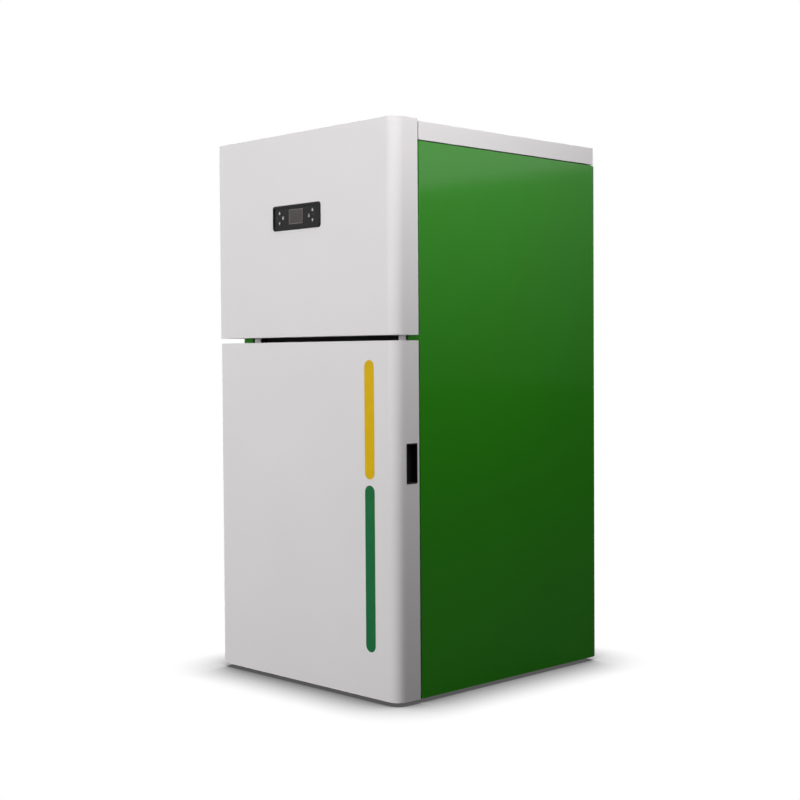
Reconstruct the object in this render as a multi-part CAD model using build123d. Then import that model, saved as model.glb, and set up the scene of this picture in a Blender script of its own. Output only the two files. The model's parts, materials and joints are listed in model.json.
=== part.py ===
from build123d import *
import math
import os

# Pellet boiler: a free-standing steel cabinet with a water-jacketed boiler block in its lower
# half and a pellet hopper above it. Millimetres, +Z up, the front faces -Y, and the origin is
# at the middle of the footprint, on the floor.

# Cabinet
overall_width = 680.0
overall_height = 1410.0
body_depth = 677.5
casing_sheet = 1.5
bend_radius = 2.0
foot_gap = 10.0
rear_reach = 38.5
cover_proud = 3.9
lid_height = 46.0
lid_gap = 2.8
lid_edge_radius = 3.0
ring_drop = 7.3
frame_sheet = 3.0
corner_radius = 5.0
ring_skirt = 25.0
base_height = 40.0
flange_width = 40.0
rear_flange = 22.0

# Front covers
cover_return = 76.0
cover_gap = 4.0
upper_cover_height = 518.2
middle_gap = 13.4
round_edge = 30.0
small_edge = 3.0
hinge_side_reveal = 3.0

# Posts behind the covers
post_width = 25.0
post_depth = 22.0
post_inset = 47.5
post_sheet = 2.0

# Control panel
bezel_width = 184.0
bezel_height = 64.0
bezel_proud = 4.0
bezel_corner = 7.0
bezel_rim = 6.0
bezel_centre_x = -18.6
bezel_from_top = 213.0
face_recess = 2.0
face_plate = 2.5
window_width = 54.0
window_height = 37.5
window_shift_x = -2.0
window_shift_z = 1.3
key_radius = 5.5
key_clearance = 0.3
key_proud = 0.8
key_arrow_x = 64.5
key_inner_x = 50.4
key_arrow_z = 13.3
box_width = 204.0
box_height = 92.0
box_depth = 44.0
box_wall = 2.0

# Door of the lower half
pivot_from_side = 14.0
pivot_from_return = 38.0
hinge_pin_radius = 5.0
running_gap = 0.05
hinge_bar = 10.0
hinge_neck = 50.0
hinge_from_end = 98.0
handle_from_front = 32.5
handle_width = 36.5
handle_height = 96.5
handle_bottom = 535.0
handle_depth = 18.0
handle_rim = 1.5
handle_rim_proud = 1.0
handle_wall = 1.5

# Boiler block
block_width = 460.0
block_depth = 300.0
block_top = 800.0
service_space = 200.0
mat_thickness = 25.0
block_wall = 5.0
water_gap = 60.0
front_water_gap = 30.0
firebox_floor = 150.0
firebox_height = 350.0
door_opening_width = 170.0
door_opening_height = 240.0
door_opening_bottom = 225.0
tube_bore = 42.0
tube_wall = 3.0
tube_pitch = 70.0
tube_columns = 5
tube_row_pitch = 60.0
tube_row_from_rear = 54.0
chute_from_front = 100.0
chute_bore = 60.0

# Firebox door
firebox_door_width = 205.0
firebox_door_height = 270.0
firebox_door_plate = 20.0
rope_size = 8.0
firebox_pin_radius = 5.0

# Fuel feed
hopper_side_gap = 40.0
hopper_sheet = 2.0
hopper_knee = 1200.0
throat_top = 995.0
throat_width = 60.0
throat_length = 120.0
gasket_height = 12.0
auger_z = 950.0
auger_tube_radius = 38.0
auger_tube_wall = 3.0
auger_radius = 33.0
auger_shaft_radius = 10.0
auger_pitch = 46.0
flight_thickness = 4.0

# Flue side
smoke_box_height = 70.0
smoke_box_width = 410.0
smoke_sheet = 3.0
shaft_radius = 8.0
shaft_z = 843.0
rocker_length = 40.0
rocker_swing = 15.0
rack_rest_gap = 6.0
lever_length = 330.0
lever_rest_angle = 25.0
lever_grip_length = 80.0
fan_from_smoke_side = 55.0
scroll_height = 75.0
scroll_small = 62.0
scroll_large = 90.0
scroll_outlet = 60.0
impeller_radius = 50.0
impeller_blades = 10
motor_radius = 40.0
motor_height = 62.0
flue_radius = 40.0
stop_bead = 3.0

# Pipes
water_pipe_radius = 14.0
water_pipe_bore = 12.5
duct_step = 1.0
tail_radius = 16.6
tail_length = 36.0
supply_x = 140.0
supply_z = 690.0
return_x = -170.0
return_z = 160.0
return_entry_z = 430.0
air_pipe_radius = 25.0
air_z = 105.0

# Places that follow from the sizes above
half_width = overall_width / 2
front_y = bezel_proud - (bezel_proud + cover_return + cover_gap + body_depth + rear_reach) / 2
body_front = front_y + cover_return + cover_gap
rear_y = body_front + body_depth
reach_y = rear_y + rear_reach
inner_half = half_width - casing_sheet
inner_rear = rear_y - casing_sheet
base_top = foot_gap + base_height
lid_top = overall_height - cover_proud
lid_bottom = lid_top - lid_height
panel_top = lid_bottom - lid_gap
ring_top = panel_top - ring_drop
upper_cover_bottom = overall_height - upper_cover_height
door_top = upper_cover_bottom - middle_gap
cover_rear = body_front - cover_gap
post_x = half_width - post_inset - post_width / 2
block_half = block_width / 2
block_front = body_front + service_space
block_rear = block_front + block_depth
chute_y = block_front + chute_from_front
tube_rows = [block_rear - tube_row_from_rear - tube_row_pitch, block_rear - tube_row_from_rear]
shaft_y = sum(tube_rows) / 2
smoke_front = tube_rows[0] - 40.0
smoke_rear = inner_rear - 20.0
smoke_top = block_top + smoke_box_height
bezel_z = overall_height - bezel_from_top
hinge_low_z = foot_gap + hinge_from_end
hinge_high_z = door_top - hinge_from_end


def block(x0, x1, y0, y1, z0, z1):
    """A box between two corners."""
    size = Box(x1 - x0, y1 - y0, z1 - z0)
    return Pos((x0 + x1) / 2, (y0 + y1) / 2, (z0 + z1) / 2) * size


def upright_plates(half, y0, y1, z0, z1, sheet):
    """The front, rear, left and right plates of a box, the last two standing between the others."""
    front = block(-half, half, y0, y0 + sheet, z0, z1)
    rear = block(-half, half, y1 - sheet, y1, z0, z1)
    left = block(-half, -half + sheet, y0 + sheet, y1 - sheet, z0, z1)
    return [front, rear, left, mirror(left, about=Plane.YZ)]


def rod(radius, start, end):
    """A round bar from one point to another."""
    start, end = Vector(start), Vector(end)
    run = end - start
    return Solid.make_cylinder(radius, run.length, Plane(origin=start, z_dir=run))


def sleeve(radius, bore, start, end):
    """A tube from one point to another."""
    return rod(radius, start, end) - rod(bore, start, end)


def plan_sheet(points, thickness, bend, z0, z1):
    """Folded sheet: an open plan outline, thickened to its left and raised from z0 to z1."""
    line = FilletPolyline(*points, radius=bend)
    face = make_face(offset(line, amount=thickness, side=Side.LEFT))
    return Pos(0, 0, z0) * extrude(face, amount=z1 - z0, dir=(0, 0, 1))


def bent_pipe(points, radius, bore, bend):
    """A pipe along straight runs joined by round bends."""
    path = FilletPolyline(*points, radius=bend)
    start = Plane(origin=path @ 0, z_dir=path % 0)
    wall = sweep(start * Circle(radius), path=path)
    return wall - sweep(start * Circle(bore), path=path)


def rounded_slab(width, height, corner, y0, y1, centre_x, centre_z):
    """A plate facing the front, with rounded corners."""
    outline = Plane.XZ.offset(-y1) * Pos(centre_x, centre_z) * RectangleRounded(width, height, corner)
    return extrude(outline, amount=y1 - y0)


def cover_pan(x0, x1, z0, z1):
    """A folded front cover, open at the rear, with its large round edge on the right."""
    form = block(x0, x1, front_y, cover_rear, z0, z1)
    upright = form.edges().filter_by(Axis.Z).group_by(Axis.Y)[0].sort_by(Axis.X)
    form = fillet(upright[-1:], round_edge)
    upright = form.edges().filter_by(Axis.Z).group_by(Axis.Y)[0].sort_by(Axis.X)
    form = fillet(upright[:1], small_edge)
    return offset(form, amount=-casing_sheet, openings=form.faces().sort_by(Axis.Y)[-1])


def both_sides(piece):
    """A piece and its mirror image about the middle plane."""
    return [piece, mirror(piece, about=Plane.YZ)]


# Base tray with its four levelling feet
foot_x = half_width - 60.0
foot_rows = [body_front + 60.0, rear_y - 60.0]
foot_places = [(x, y) for x in (-foot_x, foot_x) for y in foot_rows]
stud_radius = 6.0
stud_hole = 6.5
nut_height = 10.0
foot_pad_radius = 22.0
well_inset = 90.0


def make_base_frame():
    front, rear = body_front + casing_sheet, inner_rear - casing_sheet
    tray = block(-inner_half, inner_half, front, rear, foot_gap, base_top)
    tray = fillet(tray.edges().filter_by(Axis.Z), corner_radius)
    tray = offset(tray, amount=-frame_sheet, openings=tray.faces().sort_by(Axis.Z)[0])
    for x, y in foot_places:
        tray -= rod(stud_hole, (x, y, foot_gap), (x, y, base_top + 1))
    reach = block_half - well_inset
    well = block(-reach, reach, block_front + 40, block_rear - 40, foot_gap, base_top + 1)
    well = fillet(well.edges().filter_by(Axis.Z), 12)
    return tray - well


def make_foot(x, y):
    pad = Cylinder(foot_pad_radius, 8, align=(Align.CENTER, Align.CENTER, Align.MIN))
    pad = chamfer(pad.edges().sort_by(Axis.Z)[-1], 3)
    nut_top = base_top - frame_sheet
    nut = extrude(RegularPolygon(11, 6), amount=nut_height)
    foot = pad + Pos(0, 0, nut_top - nut_height) * nut
    foot += rod(stud_radius, (0, 0, 4), (0, 0, base_top + 18))
    return Pos(x, y, 0) * foot


# Green side panels, rear panel and the ring that ties the cabinet together
def make_side_panel():
    points = [
        (half_width - flange_width, body_front),
        (half_width, body_front),
        (half_width, inner_rear),
        (half_width - rear_flange, inner_rear),
    ]
    return plan_sheet(points, casing_sheet, bend_radius, foot_gap, panel_top)


louvre_count = 7
louvre_pitch = 16.0
louvre_width = 120.0
louvre_height = 6.0
louvre_top = panel_top - 121.3
louvre_x = 150.0
inlet_x = post_x - post_width / 2 - 28.0
inlet_z = louvre_top - 186.0
drain_x = 90.0
drain_z = 85.0
drain_radius = 13.0
fan_x = -smoke_box_width / 2 + fan_from_smoke_side


def make_rear_panel():
    panel = block(-half_width, half_width, inner_rear, rear_y, foot_gap, panel_top)
    panel = fillet(panel.edges().filter_by(Axis.Y), 3)
    for x in (-louvre_x, louvre_x):
        for row in range(louvre_count):
            slot = Plane.XZ * Pos(x, louvre_top - row * louvre_pitch) * SlotOverall(louvre_width, louvre_height)
            panel -= Pos(0, rear_y + 5, 0) * extrude(slot, amount=12)
    for x, z, radius in (
        (fan_x - scroll_large + scroll_outlet / 2, smoke_top + scroll_height / 2, flue_radius + 2),
        (supply_x, supply_z, tail_radius + 3),
        (return_x, return_z, tail_radius + 3),
        (0, air_z, air_pipe_radius + 2),
        (drain_x, drain_z, drain_radius + 1),
    ):
        panel -= rod(radius, (x, inner_rear - 1, z), (x, rear_y + 1, z))
    return panel - block(inlet_x - 14, inlet_x + 14, inner_rear - 1, rear_y + 1, inlet_z - 24, inlet_z + 50)


hopper_half = half_width - hopper_side_gap
hopper_front = body_front + 46.0
hopper_back = inner_rear - 30.0
hopper_flange = 15.0


def make_top_frame():
    low_y, high_y = body_front + casing_sheet, inner_rear - casing_sheet
    ring = block(-inner_half, inner_half, low_y, high_y, ring_top - ring_skirt, ring_top)
    ring = fillet(ring.edges().filter_by(Axis.Z), corner_radius)
    ring = offset(ring, amount=-frame_sheet, openings=ring.faces().sort_by(Axis.Z)[0])
    mouth = block(
        -hopper_half - 1, hopper_half + 1, hopper_front - 1, hopper_back + 1, ring_top - 30, ring_top + 1
    )
    return ring - mouth


def make_posts():
    """Four upright channels, each a web and two flanges, open towards the middle of the cabinet."""
    posts = []
    rear = inner_rear - casing_sheet - frame_sheet
    left, right = post_x - post_width / 2, post_x + post_width / 2
    for y0, y1, top in (
        (body_front, body_front + post_depth, ring_top - ring_skirt),
        (rear - post_depth, rear, ring_top - frame_sheet),
    ):
        web = block(right - post_sheet, right, y0, y1, base_top, top)
        front = block(left, right - post_sheet, y0, y0 + post_sheet, base_top, top)
        back = Pos(0, y1 - y0 - post_sheet, 0) * front
        for plate in (web, front, back):
            posts += both_sides(plate)
    return posts


def make_inner_front_panel():
    """Dark sheet behind the upper cover, folded back onto the two front posts."""
    edge = post_x - post_width / 2
    depth = body_front + post_depth + casing_sheet
    points = [(edge, body_front + 4), (edge, depth), (-edge, depth), (-edge, body_front + 4)]
    sheet = plan_sheet(points, casing_sheet, bend_radius, door_top - 18, ring_top - 60)
    return sheet


# Hinged lid over the hopper
hinge_barrel = 5.0
lid_pin = 2.5
lid_hinge_x = 220.0
lid_hinge_width = 60.0
lid_hinge_z = lid_bottom
lid_hinge_y = rear_y + hinge_barrel
leaf_sheet = 2.0


def make_lid():
    lid = block(-half_width, half_width, body_front, rear_y, lid_bottom, lid_top)
    lid = fillet(lid.edges().filter_by(Axis.Z), lid_edge_radius)
    lid = fillet(lid.faces().sort_by(Axis.Z)[-1].edges(), lid_edge_radius)
    return offset(lid, amount=-casing_sheet, openings=lid.faces().sort_by(Axis.Z)[0])


def make_lid_hinge_leaf(x):
    """Fixed leaf on the rear panel, with the pin and the two outer knuckles."""
    third = lid_hinge_width / 3
    left = x - lid_hinge_width / 2
    y, z = lid_hinge_y, lid_hinge_z
    leaf = block(left, left + lid_hinge_width, rear_y, rear_y + leaf_sheet, panel_top - 42, z - 4)
    for start in (left, left + 2 * third):
        leaf += rod(hinge_barrel, (start, y, z), (start + third, y, z))
        leaf += block(start, start + third, rear_y, rear_y + leaf_sheet, z - 6, z)
    return leaf + rod(lid_pin, (left, y, z), (left + lid_hinge_width, y, z))


def make_lid_hinge_knuckle(x):
    """Moving leaf on the lid's rear skirt, with the middle knuckle."""
    third = lid_hinge_width / 3
    left = x - third / 2 + 0.3
    right = x + third / 2 - 0.3
    y, z = lid_hinge_y, lid_hinge_z
    leaf = block(x - 24, x + 24, rear_y, rear_y + leaf_sheet, z + hinge_barrel + 1, lid_top - 8)
    leaf += block(left, right, rear_y, rear_y + leaf_sheet, z, lid_top - 10)
    leaf += rod(hinge_barrel, (left, y, z), (right, y, z))
    return leaf - rod(lid_pin + running_gap, (x - 40, y, z), (x + 40, y, z))


# Hopper with its gasket and guard grid
hopper_rim = lid_top - casing_sheet - 0.3 - gasket_height
throat_y = (block_front + block_rear) / 2 + 56.0
grid_z = ring_top - 60.0
grid_bars = 7


def plan_corners(half, y0, y1, inset):
    """The corners of a plan rectangle, drawn in by an inset."""
    x, low, high = half - inset, y0 + inset, y1 - inset
    return [(-x, low), (x, low), (x, high), (-x, high)]


def funnel_plates():
    """Four sloping sheets, mitred at the corners, from the throat up to the knee."""
    levels = (
        (throat_top, throat_width / 2, throat_y - throat_length / 2, throat_y + throat_length / 2),
        (hopper_knee, hopper_half, hopper_front, hopper_back),
    )
    plates = []
    for side in range(4):
        after = (side + 1) % 4
        ends = []
        for z, half, y0, y1 in levels:
            outer = plan_corners(half, y0, y1, 0)
            inner = plan_corners(half, y0, y1, hopper_sheet)
            outline = Polyline(outer[side], outer[after], inner[after], inner[side], close=True)
            ends.append(Pos(0, 0, z) * make_face(outline))
        plates.append(loft(ends))
    return plates


def make_hopper():
    """Hopper welded from sheet: four upright walls, a rim, a funnel and a straight neck."""
    walls = upright_plates(hopper_half, hopper_front, hopper_back, hopper_knee, hopper_rim, hopper_sheet)
    rim = upright_plates(
        hopper_half + hopper_flange, hopper_front - hopper_flange, hopper_back + hopper_flange, ring_top,
        ring_top + hopper_sheet, hopper_flange
    )
    neck = upright_plates(
        throat_width / 2, throat_y - throat_length / 2, throat_y + throat_length / 2, auger_z + 20, throat_top,
        hopper_sheet
    )
    tube = rod(auger_tube_radius, (0, throat_y - 100, auger_z), (0, throat_y + 100, auger_z))
    return walls + rim + funnel_plates() + [plate - tube for plate in neck]


def make_gasket():
    """Rubber edge on the hopper's rim, which the lid closes on."""
    low, high = hopper_rim, hopper_rim + gasket_height
    outer = block(-hopper_half - 4, hopper_half + 4, hopper_front - 4, hopper_back + 4, low, high)
    inner = block(-hopper_half + 6, hopper_half - 6, hopper_front + 6, hopper_back - 6, low - 1, high + 1)
    outer = fillet(outer.edges().filter_by(Axis.Z), 8)
    return outer - fillet(inner.edges().filter_by(Axis.Z), 4)


def make_grid():
    """Guard grid across the hopper: a frame on the walls with round bars from front to back."""
    wide = hopper_half - hopper_sheet
    front, back = hopper_front + hopper_sheet, hopper_back - hopper_sheet
    outer = block(-wide, wide, front, back, grid_z, grid_z + 8)
    grid = outer - block(-wide + 6, wide - 6, front + 6, back - 6, grid_z - 1, grid_z + 9)
    for step in range(1, grid_bars + 1):
        x = -wide + step * 2 * wide / (grid_bars + 1)
        grid += rod(3, (x, front + 3, grid_z + 4), (x, back - 3, grid_z + 4))
    return grid


# Auger with its tube, gear motor and drop chute
auger_front = chute_y - 45.0
auger_rear = block_rear + 16.0
auger_plate = 5.0


def make_auger_tube():
    tube = rod(auger_tube_radius, (0, auger_front, auger_z), (0, auger_rear, auger_z))
    flange = block(-48, 48, auger_rear - auger_plate, auger_rear, auger_z - 48, auger_z + 48)
    tube += fillet(flange.edges().filter_by(Axis.Y), 8)
    inner = auger_tube_radius - auger_tube_wall
    tube -= rod(inner, (0, auger_front + auger_plate, auger_z), (0, auger_rear - auger_plate, auger_z))
    tube -= rod(auger_shaft_radius + running_gap, (0, auger_front - 1, auger_z), (0, auger_rear + 1, auger_z))
    reach = throat_length / 2 - hopper_sheet
    side = throat_width / 2 - hopper_sheet
    tube -= block(-side, side, throat_y - reach, throat_y + reach, auger_z, auger_z + 60)
    return tube - rod(chute_bore / 2, (0, chute_y, auger_z), (0, chute_y, auger_z - 60))


def make_auger_screw():
    shaft = rod(auger_shaft_radius, (0, auger_front - 6, auger_z), (0, auger_rear + 30, auger_z))
    start = auger_front + auger_plate + 6
    length = auger_rear - auger_plate - 8 - start
    path = Helix(auger_pitch, length, (auger_radius + auger_shaft_radius) / 2)
    depth = auger_radius - auger_shaft_radius + 1
    section = Plane(origin=path @ 0, z_dir=path % 0, x_dir=(1, 0, 0))
    flight = sweep(section * Rectangle(depth, flight_thickness), path=path, is_frenet=True)
    flight = Pos(0, start, auger_z) * Rot(-90, 0, 0) * flight
    return shaft + flight


def make_gearmotor():
    """Gear casing on the auger's flange, with its motor standing across it."""
    front = auger_rear
    motor_y = front + 38
    casing = block(-42, 42, front, front + 74, auger_z - 44, auger_z + 50)
    casing = fillet(casing.edges().filter_by(Axis.Y), 10)
    casing -= rod(auger_shaft_radius + running_gap, (0, front - 1, auger_z), (0, front + 31, auger_z))
    motor = rod(33, (38, motor_y, auger_z + 10), (132, motor_y, auger_z + 10))
    motor = chamfer(motor.edges().sort_by(Axis.X)[-1], 5)
    for step in range(4):
        x = 52 + step * 16
        motor += rod(36, (x, motor_y, auger_z + 10), (x + 5, motor_y, auger_z + 10))
    return casing + motor


def make_feed_chute():
    outer = chute_bore / 2 + 3
    chute = rod(outer, (0, chute_y, block_top), (0, chute_y, auger_z))
    chute += rod(outer + 10, (0, chute_y, block_top), (0, chute_y, block_top + 5))
    chute -= rod(chute_bore / 2, (0, chute_y, block_top - 1), (0, chute_y, auger_z + 1))
    return chute - rod(auger_tube_radius, (0, auger_front - 60, auger_z), (0, auger_rear, auger_z))


# Water-jacketed boiler block
box_half = block_half - water_gap + block_wall
firebox_top = firebox_floor + firebox_height
cavity_front = block_front + front_water_gap
cavity_rear = block_rear - front_water_gap
opening_half = door_opening_width / 2
opening_top = door_opening_bottom + door_opening_height
ash_half = block_half - water_gap - 20.0
ash_floor = base_top + block_wall
ash_top = firebox_floor - block_wall
igniter_z = firebox_floor + 40.0
igniter_sleeve = 12.0
port_radius = water_pipe_bore
drain_bore = 7.0
air_pipe_wall = 2.0
tube_places = [
    ((column - (tube_columns - 1) / 2) * tube_pitch, y) for column in range(tube_columns) for y in tube_rows
]


firebox_door_left = -opening_half - 15.0
firebox_door_bottom = door_opening_bottom - 15.0
firebox_hinge_x = firebox_door_left - 18.0
firebox_hinge_y = block_front - rope_size - firebox_door_plate / 2
firebox_lugs = [firebox_door_bottom + 40.0, firebox_door_bottom + firebox_door_height - 60.0]


def make_firebox_lug(z):
    """Lug on the block's front with an upright pin that the door hangs on."""
    pin_x, pin_y = firebox_hinge_x, firebox_hinge_y
    lug = block(pin_x - 9, pin_x + 9, pin_y, block_front, z - 14.3, z - 0.3)
    lug += rod(9, (pin_x, pin_y, z - 14.3), (pin_x, pin_y, z - 0.3))
    return lug + rod(firebox_pin_radius, (pin_x, pin_y, z - 14.3), (pin_x, pin_y, z + 24))


def cut_tubes(plate, z):
    """The holes of the fire tubes and of the drop chute in one of the two tube plates."""
    for x, y in tube_places:
        plate -= rod(tube_bore / 2 + tube_wall, (x, y, z - 1), (x, y, z + block_wall + 1))
    return plate - rod(chute_bore / 2 + block_wall, (0, chute_y, z - 1), (0, chute_y, z + block_wall + 1))


def make_block_shell():
    """Outer plates of the block: front, rear, sides, bottom and the upper tube plate."""
    wall = block_wall
    front, rear, left, right = upright_plates(block_half, block_front, block_rear, base_top, block_top, wall)
    front -= block(
        -opening_half - wall, opening_half + wall, block_front - 1, block_front + wall + 1,
        door_opening_bottom - wall, opening_top + wall
    )
    front -= block(-ash_half, ash_half, block_front - 1, block_front + wall + 1, ash_floor, ash_top)
    for x, z, radius in (
        (supply_x, supply_z, port_radius),
        (return_x, return_entry_z, port_radius),
        (drain_x, drain_z, drain_bore),
        (0, igniter_z, igniter_sleeve),
        (0, air_z, air_pipe_radius + wall),
    ):
        rear -= rod(radius, (x, block_rear - wall - 1, z), (x, block_rear + 1, z))
    bottom = block(
        -block_half + wall, block_half - wall, block_front + wall, block_rear - wall,
        base_top, base_top + wall
    )
    lid = Pos(0, 0, block_top - wall - base_top) * bottom
    return [front, rear, left, right, bottom, cut_tubes(lid, block_top - wall)]


def make_firebox():
    """Inner box that holds the flame: four walls between its floor and the lower tube plate."""
    wall = block_wall
    low_y, high_y = cavity_front - wall, cavity_rear + wall
    front, rear, left, right = upright_plates(box_half, low_y, high_y, firebox_floor, firebox_top, wall)
    front -= block(-opening_half, opening_half, low_y - 1, cavity_front + 1, door_opening_bottom, opening_top)
    rear -= rod(igniter_sleeve, (0, cavity_rear - 1, igniter_z), (0, high_y + 1, igniter_z))
    floor = block(-box_half, box_half, low_y, high_y, firebox_floor - wall, firebox_floor)
    crown = Pos(0, 0, firebox_top - firebox_floor + wall) * floor
    floor -= rod(pot_radius, (0, chute_y, ash_top - 1), (0, chute_y, firebox_floor + 1))
    return [front, rear, left, right, floor, cut_tubes(crown, firebox_top)]


def make_ash_space():
    """Sides and rear of the ash space under the firebox, and its roof in front of the firebox."""
    wall = block_wall
    side = block(ash_half, ash_half + wall, block_front + wall, cavity_rear, ash_floor, ash_top)
    rear = block(-ash_half - wall, ash_half + wall, cavity_rear, cavity_rear + wall, ash_floor, ash_top)
    rear -= rod(air_pipe_radius + wall, (0, cavity_rear - 1, air_z), (0, cavity_rear + wall + 1, air_z))
    roof = block(
        -ash_half - wall, ash_half + wall, block_front + wall, cavity_front - wall, ash_top, ash_top + wall
    )
    return both_sides(side) + [rear, roof]


def make_door_tunnel():
    """Four plates that line the way from the front plate to the firebox."""
    wall = block_wall
    rear = cavity_front - wall
    sill = block(
        -opening_half - wall, opening_half + wall, block_front, rear,
        door_opening_bottom - wall, door_opening_bottom
    )
    lintel = Pos(0, 0, door_opening_height + wall) * sill
    cheek = block(opening_half, opening_half + wall, block_front, rear, door_opening_bottom, opening_top)
    return [sill, lintel] + both_sides(cheek)


def make_block_tubes():
    """Fire tubes, drop chute, and the sleeves of the igniter and of the air inlet."""
    tubes = [
        sleeve(tube_bore / 2 + tube_wall, tube_bore / 2, (x, y, firebox_top), (x, y, block_top))
        for x, y in tube_places
    ]
    tubes.append(
        sleeve(chute_bore / 2 + block_wall, chute_bore / 2, (0, chute_y, firebox_top), (0, chute_y, block_top))
    )
    for z, radius, bore in (
        (igniter_z, igniter_sleeve, igniter_radius + 0.5),
        (air_z, air_pipe_radius + block_wall, air_pipe_radius - air_pipe_wall),
    ):
        tubes.append(sleeve(radius, bore, (0, cavity_rear, z), (0, block_rear, z)))
    return tubes


def make_boiler_body():
    """The welded block; the space between its outer plates and the inner ones holds the water."""
    plates = make_block_shell() + make_firebox() + make_ash_space() + make_door_tunnel()
    return plates + make_block_tubes() + [make_firebox_lug(z) for z in firebox_lugs]


def make_insulation():
    mat = block(block_half, block_half + mat_thickness, block_front, block_rear, base_top, block_top - 8)
    mat = fillet(mat.edges().filter_by(Axis.Z), 6)
    return both_sides(mat)


# Burner pot and igniter
pot_radius = 50.0
pot_wall = 5.0
pot_height = 66.0
igniter_radius = 5.0


def make_burner_pot():
    """Cast pot seated in the firebox floor: a flange, a tapered wall and a drilled base."""
    low = firebox_floor - 18.0
    profile = Polyline(
        (0, low), (pot_radius - 2, low), (pot_radius - 1, firebox_floor), (pot_radius + 14, firebox_floor),
        (pot_radius + 14, firebox_floor + 6), (pot_radius + 4, firebox_floor + 6),
        (pot_radius + 8, firebox_floor + pot_height), (pot_radius + 8 - pot_wall, firebox_floor + pot_height),
        (pot_radius - 6, low + pot_wall), (0, low + pot_wall), close=True
    )
    pot = Pos(0, chute_y, 0) * revolve(Plane.XZ * make_face(profile), axis=Axis.Z)
    for radius, count in ((14, 6), (30, 12)):
        for place in PolarLocations(radius, count):
            x, y = place.position.X, place.position.Y + chute_y
            pot -= rod(2.5, (x, y, low - 1), (x, y, low + pot_wall + 1))
    return pot - rod(igniter_radius + 0.5, (0, chute_y, igniter_z), (0, chute_y + 80, igniter_z))


def make_igniter():
    y0 = chute_y + pot_radius - 6
    rod_part = rod(igniter_radius, (0, y0, igniter_z), (0, block_rear + 40, igniter_z))
    plate = rod(18, (0, block_rear, igniter_z), (0, block_rear + 5, igniter_z))
    return rod_part + plate + rod(9, (0, block_rear, igniter_z), (0, block_rear + 26, igniter_z))


# Firebox door with its rope seal and handle
def make_firebox_door():
    right = firebox_door_left + firebox_door_width
    face = block_front - rope_size
    top = firebox_door_bottom + firebox_door_height
    door = block(firebox_door_left, right, face - firebox_door_plate, face, firebox_door_bottom, top)
    door = fillet(door.edges().filter_by(Axis.Y), 12)
    door = chamfer(door.faces().sort_by(Axis.Y)[0].edges(), 3)
    raised = block(-opening_half + 12, opening_half - 12, face - firebox_door_plate - 5,
                   face - firebox_door_plate, door_opening_bottom + 12, opening_top - 12)
    raised = fillet(raised.edges().filter_by(Axis.Y), 16)
    door += chamfer(raised.faces().sort_by(Axis.Y)[0].edges(), 3)
    for z in firebox_lugs:
        door += block(
            firebox_hinge_x, firebox_door_left + 4, firebox_hinge_y - 7, firebox_hinge_y + 7, z, z + 20
        )
        door += rod(9, (firebox_hinge_x, firebox_hinge_y, z), (firebox_hinge_x, firebox_hinge_y, z + 20))
        door -= rod(
            firebox_pin_radius + running_gap, (firebox_hinge_x, firebox_hinge_y, z - 1),
            (firebox_hinge_x, firebox_hinge_y, z + 21)
        )
    return door


def make_rope():
    """Rope seal round the opening, held on the door's back."""
    face = block_front - rope_size
    half = opening_half + 2
    low, high = door_opening_bottom - 2, opening_top + 2
    outer = block(-half - 9, half + 9, face, block_front - 0.3, low - 9, high + 9)
    inner = block(-half, half, face - 1, block_front + 1, low, high)
    outer = fillet(outer.edges().filter_by(Axis.Y), 12)
    rope = outer - fillet(inner.edges().filter_by(Axis.Y), 4)
    return chamfer(rope.faces().sort_by(Axis.Y)[-1].edges(), 2)


def make_firebox_handle():
    """Bow handle near the free edge of the firebox door."""
    x = firebox_door_left + firebox_door_width - 16
    face = block_front - rope_size - firebox_door_plate
    middle = firebox_door_bottom + firebox_door_height / 2
    low, high = middle - 60, middle + 60
    points = [(x, face, low), (x, face - 32, low), (x, face - 32, high), (x, face, high)]
    path = FilletPolyline(*points, radius=12)
    return sweep(Plane(origin=path @ 0, z_dir=path % 0) * Circle(6), path=path)


# Ash drawer
drawer_sheet = 2.0
drawer_length = 190.0


def make_ash_drawer():
    half = ash_half - 4
    low, high = ash_floor + 0.3, ash_top - 26
    front, back = block_front - 2, block_front + drawer_length
    tray = block(-half, half, front, back, low, high)
    tray = offset(tray, amount=-drawer_sheet, openings=tray.faces().sort_by(Axis.Z)[-1])
    plate = block(-ash_half - 10, ash_half + 10, front - 3, front, base_top + 1, ash_top + 6)
    tray += fillet(plate.edges().filter_by(Axis.Y), 4)
    middle = (low + high) / 2
    near, far = front - 3, front - 28
    points = [(-45, near, middle), (-45, far, middle), (45, far, middle), (45, near, middle)]
    path = FilletPolyline(*points, radius=10)
    return tray + sweep(Plane(origin=path @ 0, z_dir=path % 0) * Circle(5), path=path)


# Smoke box, turbulators and the shaft that lifts them
rack_z = block_top + rack_rest_gap
rack_sheet = 3.0
rocker_x = 105.0
pin_rest_y = shaft_y - rocker_length * math.cos(math.radians(rocker_swing))
pin_rest_z = shaft_z - rocker_length * math.sin(math.radians(rocker_swing))
rocker_pin = 4.0
rocker_sheet = 6.0
lever_x = block_half + mat_thickness + 15.0


def make_smoke_box():
    half = smoke_box_width / 2
    box = block(-half, half, smoke_front, smoke_rear, block_top, smoke_top)
    hollow = block(
        -half + smoke_sheet, half - smoke_sheet, smoke_front + smoke_sheet, smoke_rear - smoke_sheet,
        block_top + smoke_sheet, smoke_top - smoke_sheet
    )
    hollow += block(
        -half + smoke_sheet, half - smoke_sheet, smoke_front + smoke_sheet, block_rear - 8,
        block_top - 1, smoke_top - 10
    )
    box -= hollow
    box -= rod(shaft_radius + running_gap, (-half - 1, shaft_y, shaft_z), (half + 1, shaft_y, shaft_z))
    return box - rod(fan_eye, (fan_x, fan_y, smoke_top - 10), (fan_x, fan_y, smoke_top + 1))


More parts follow.
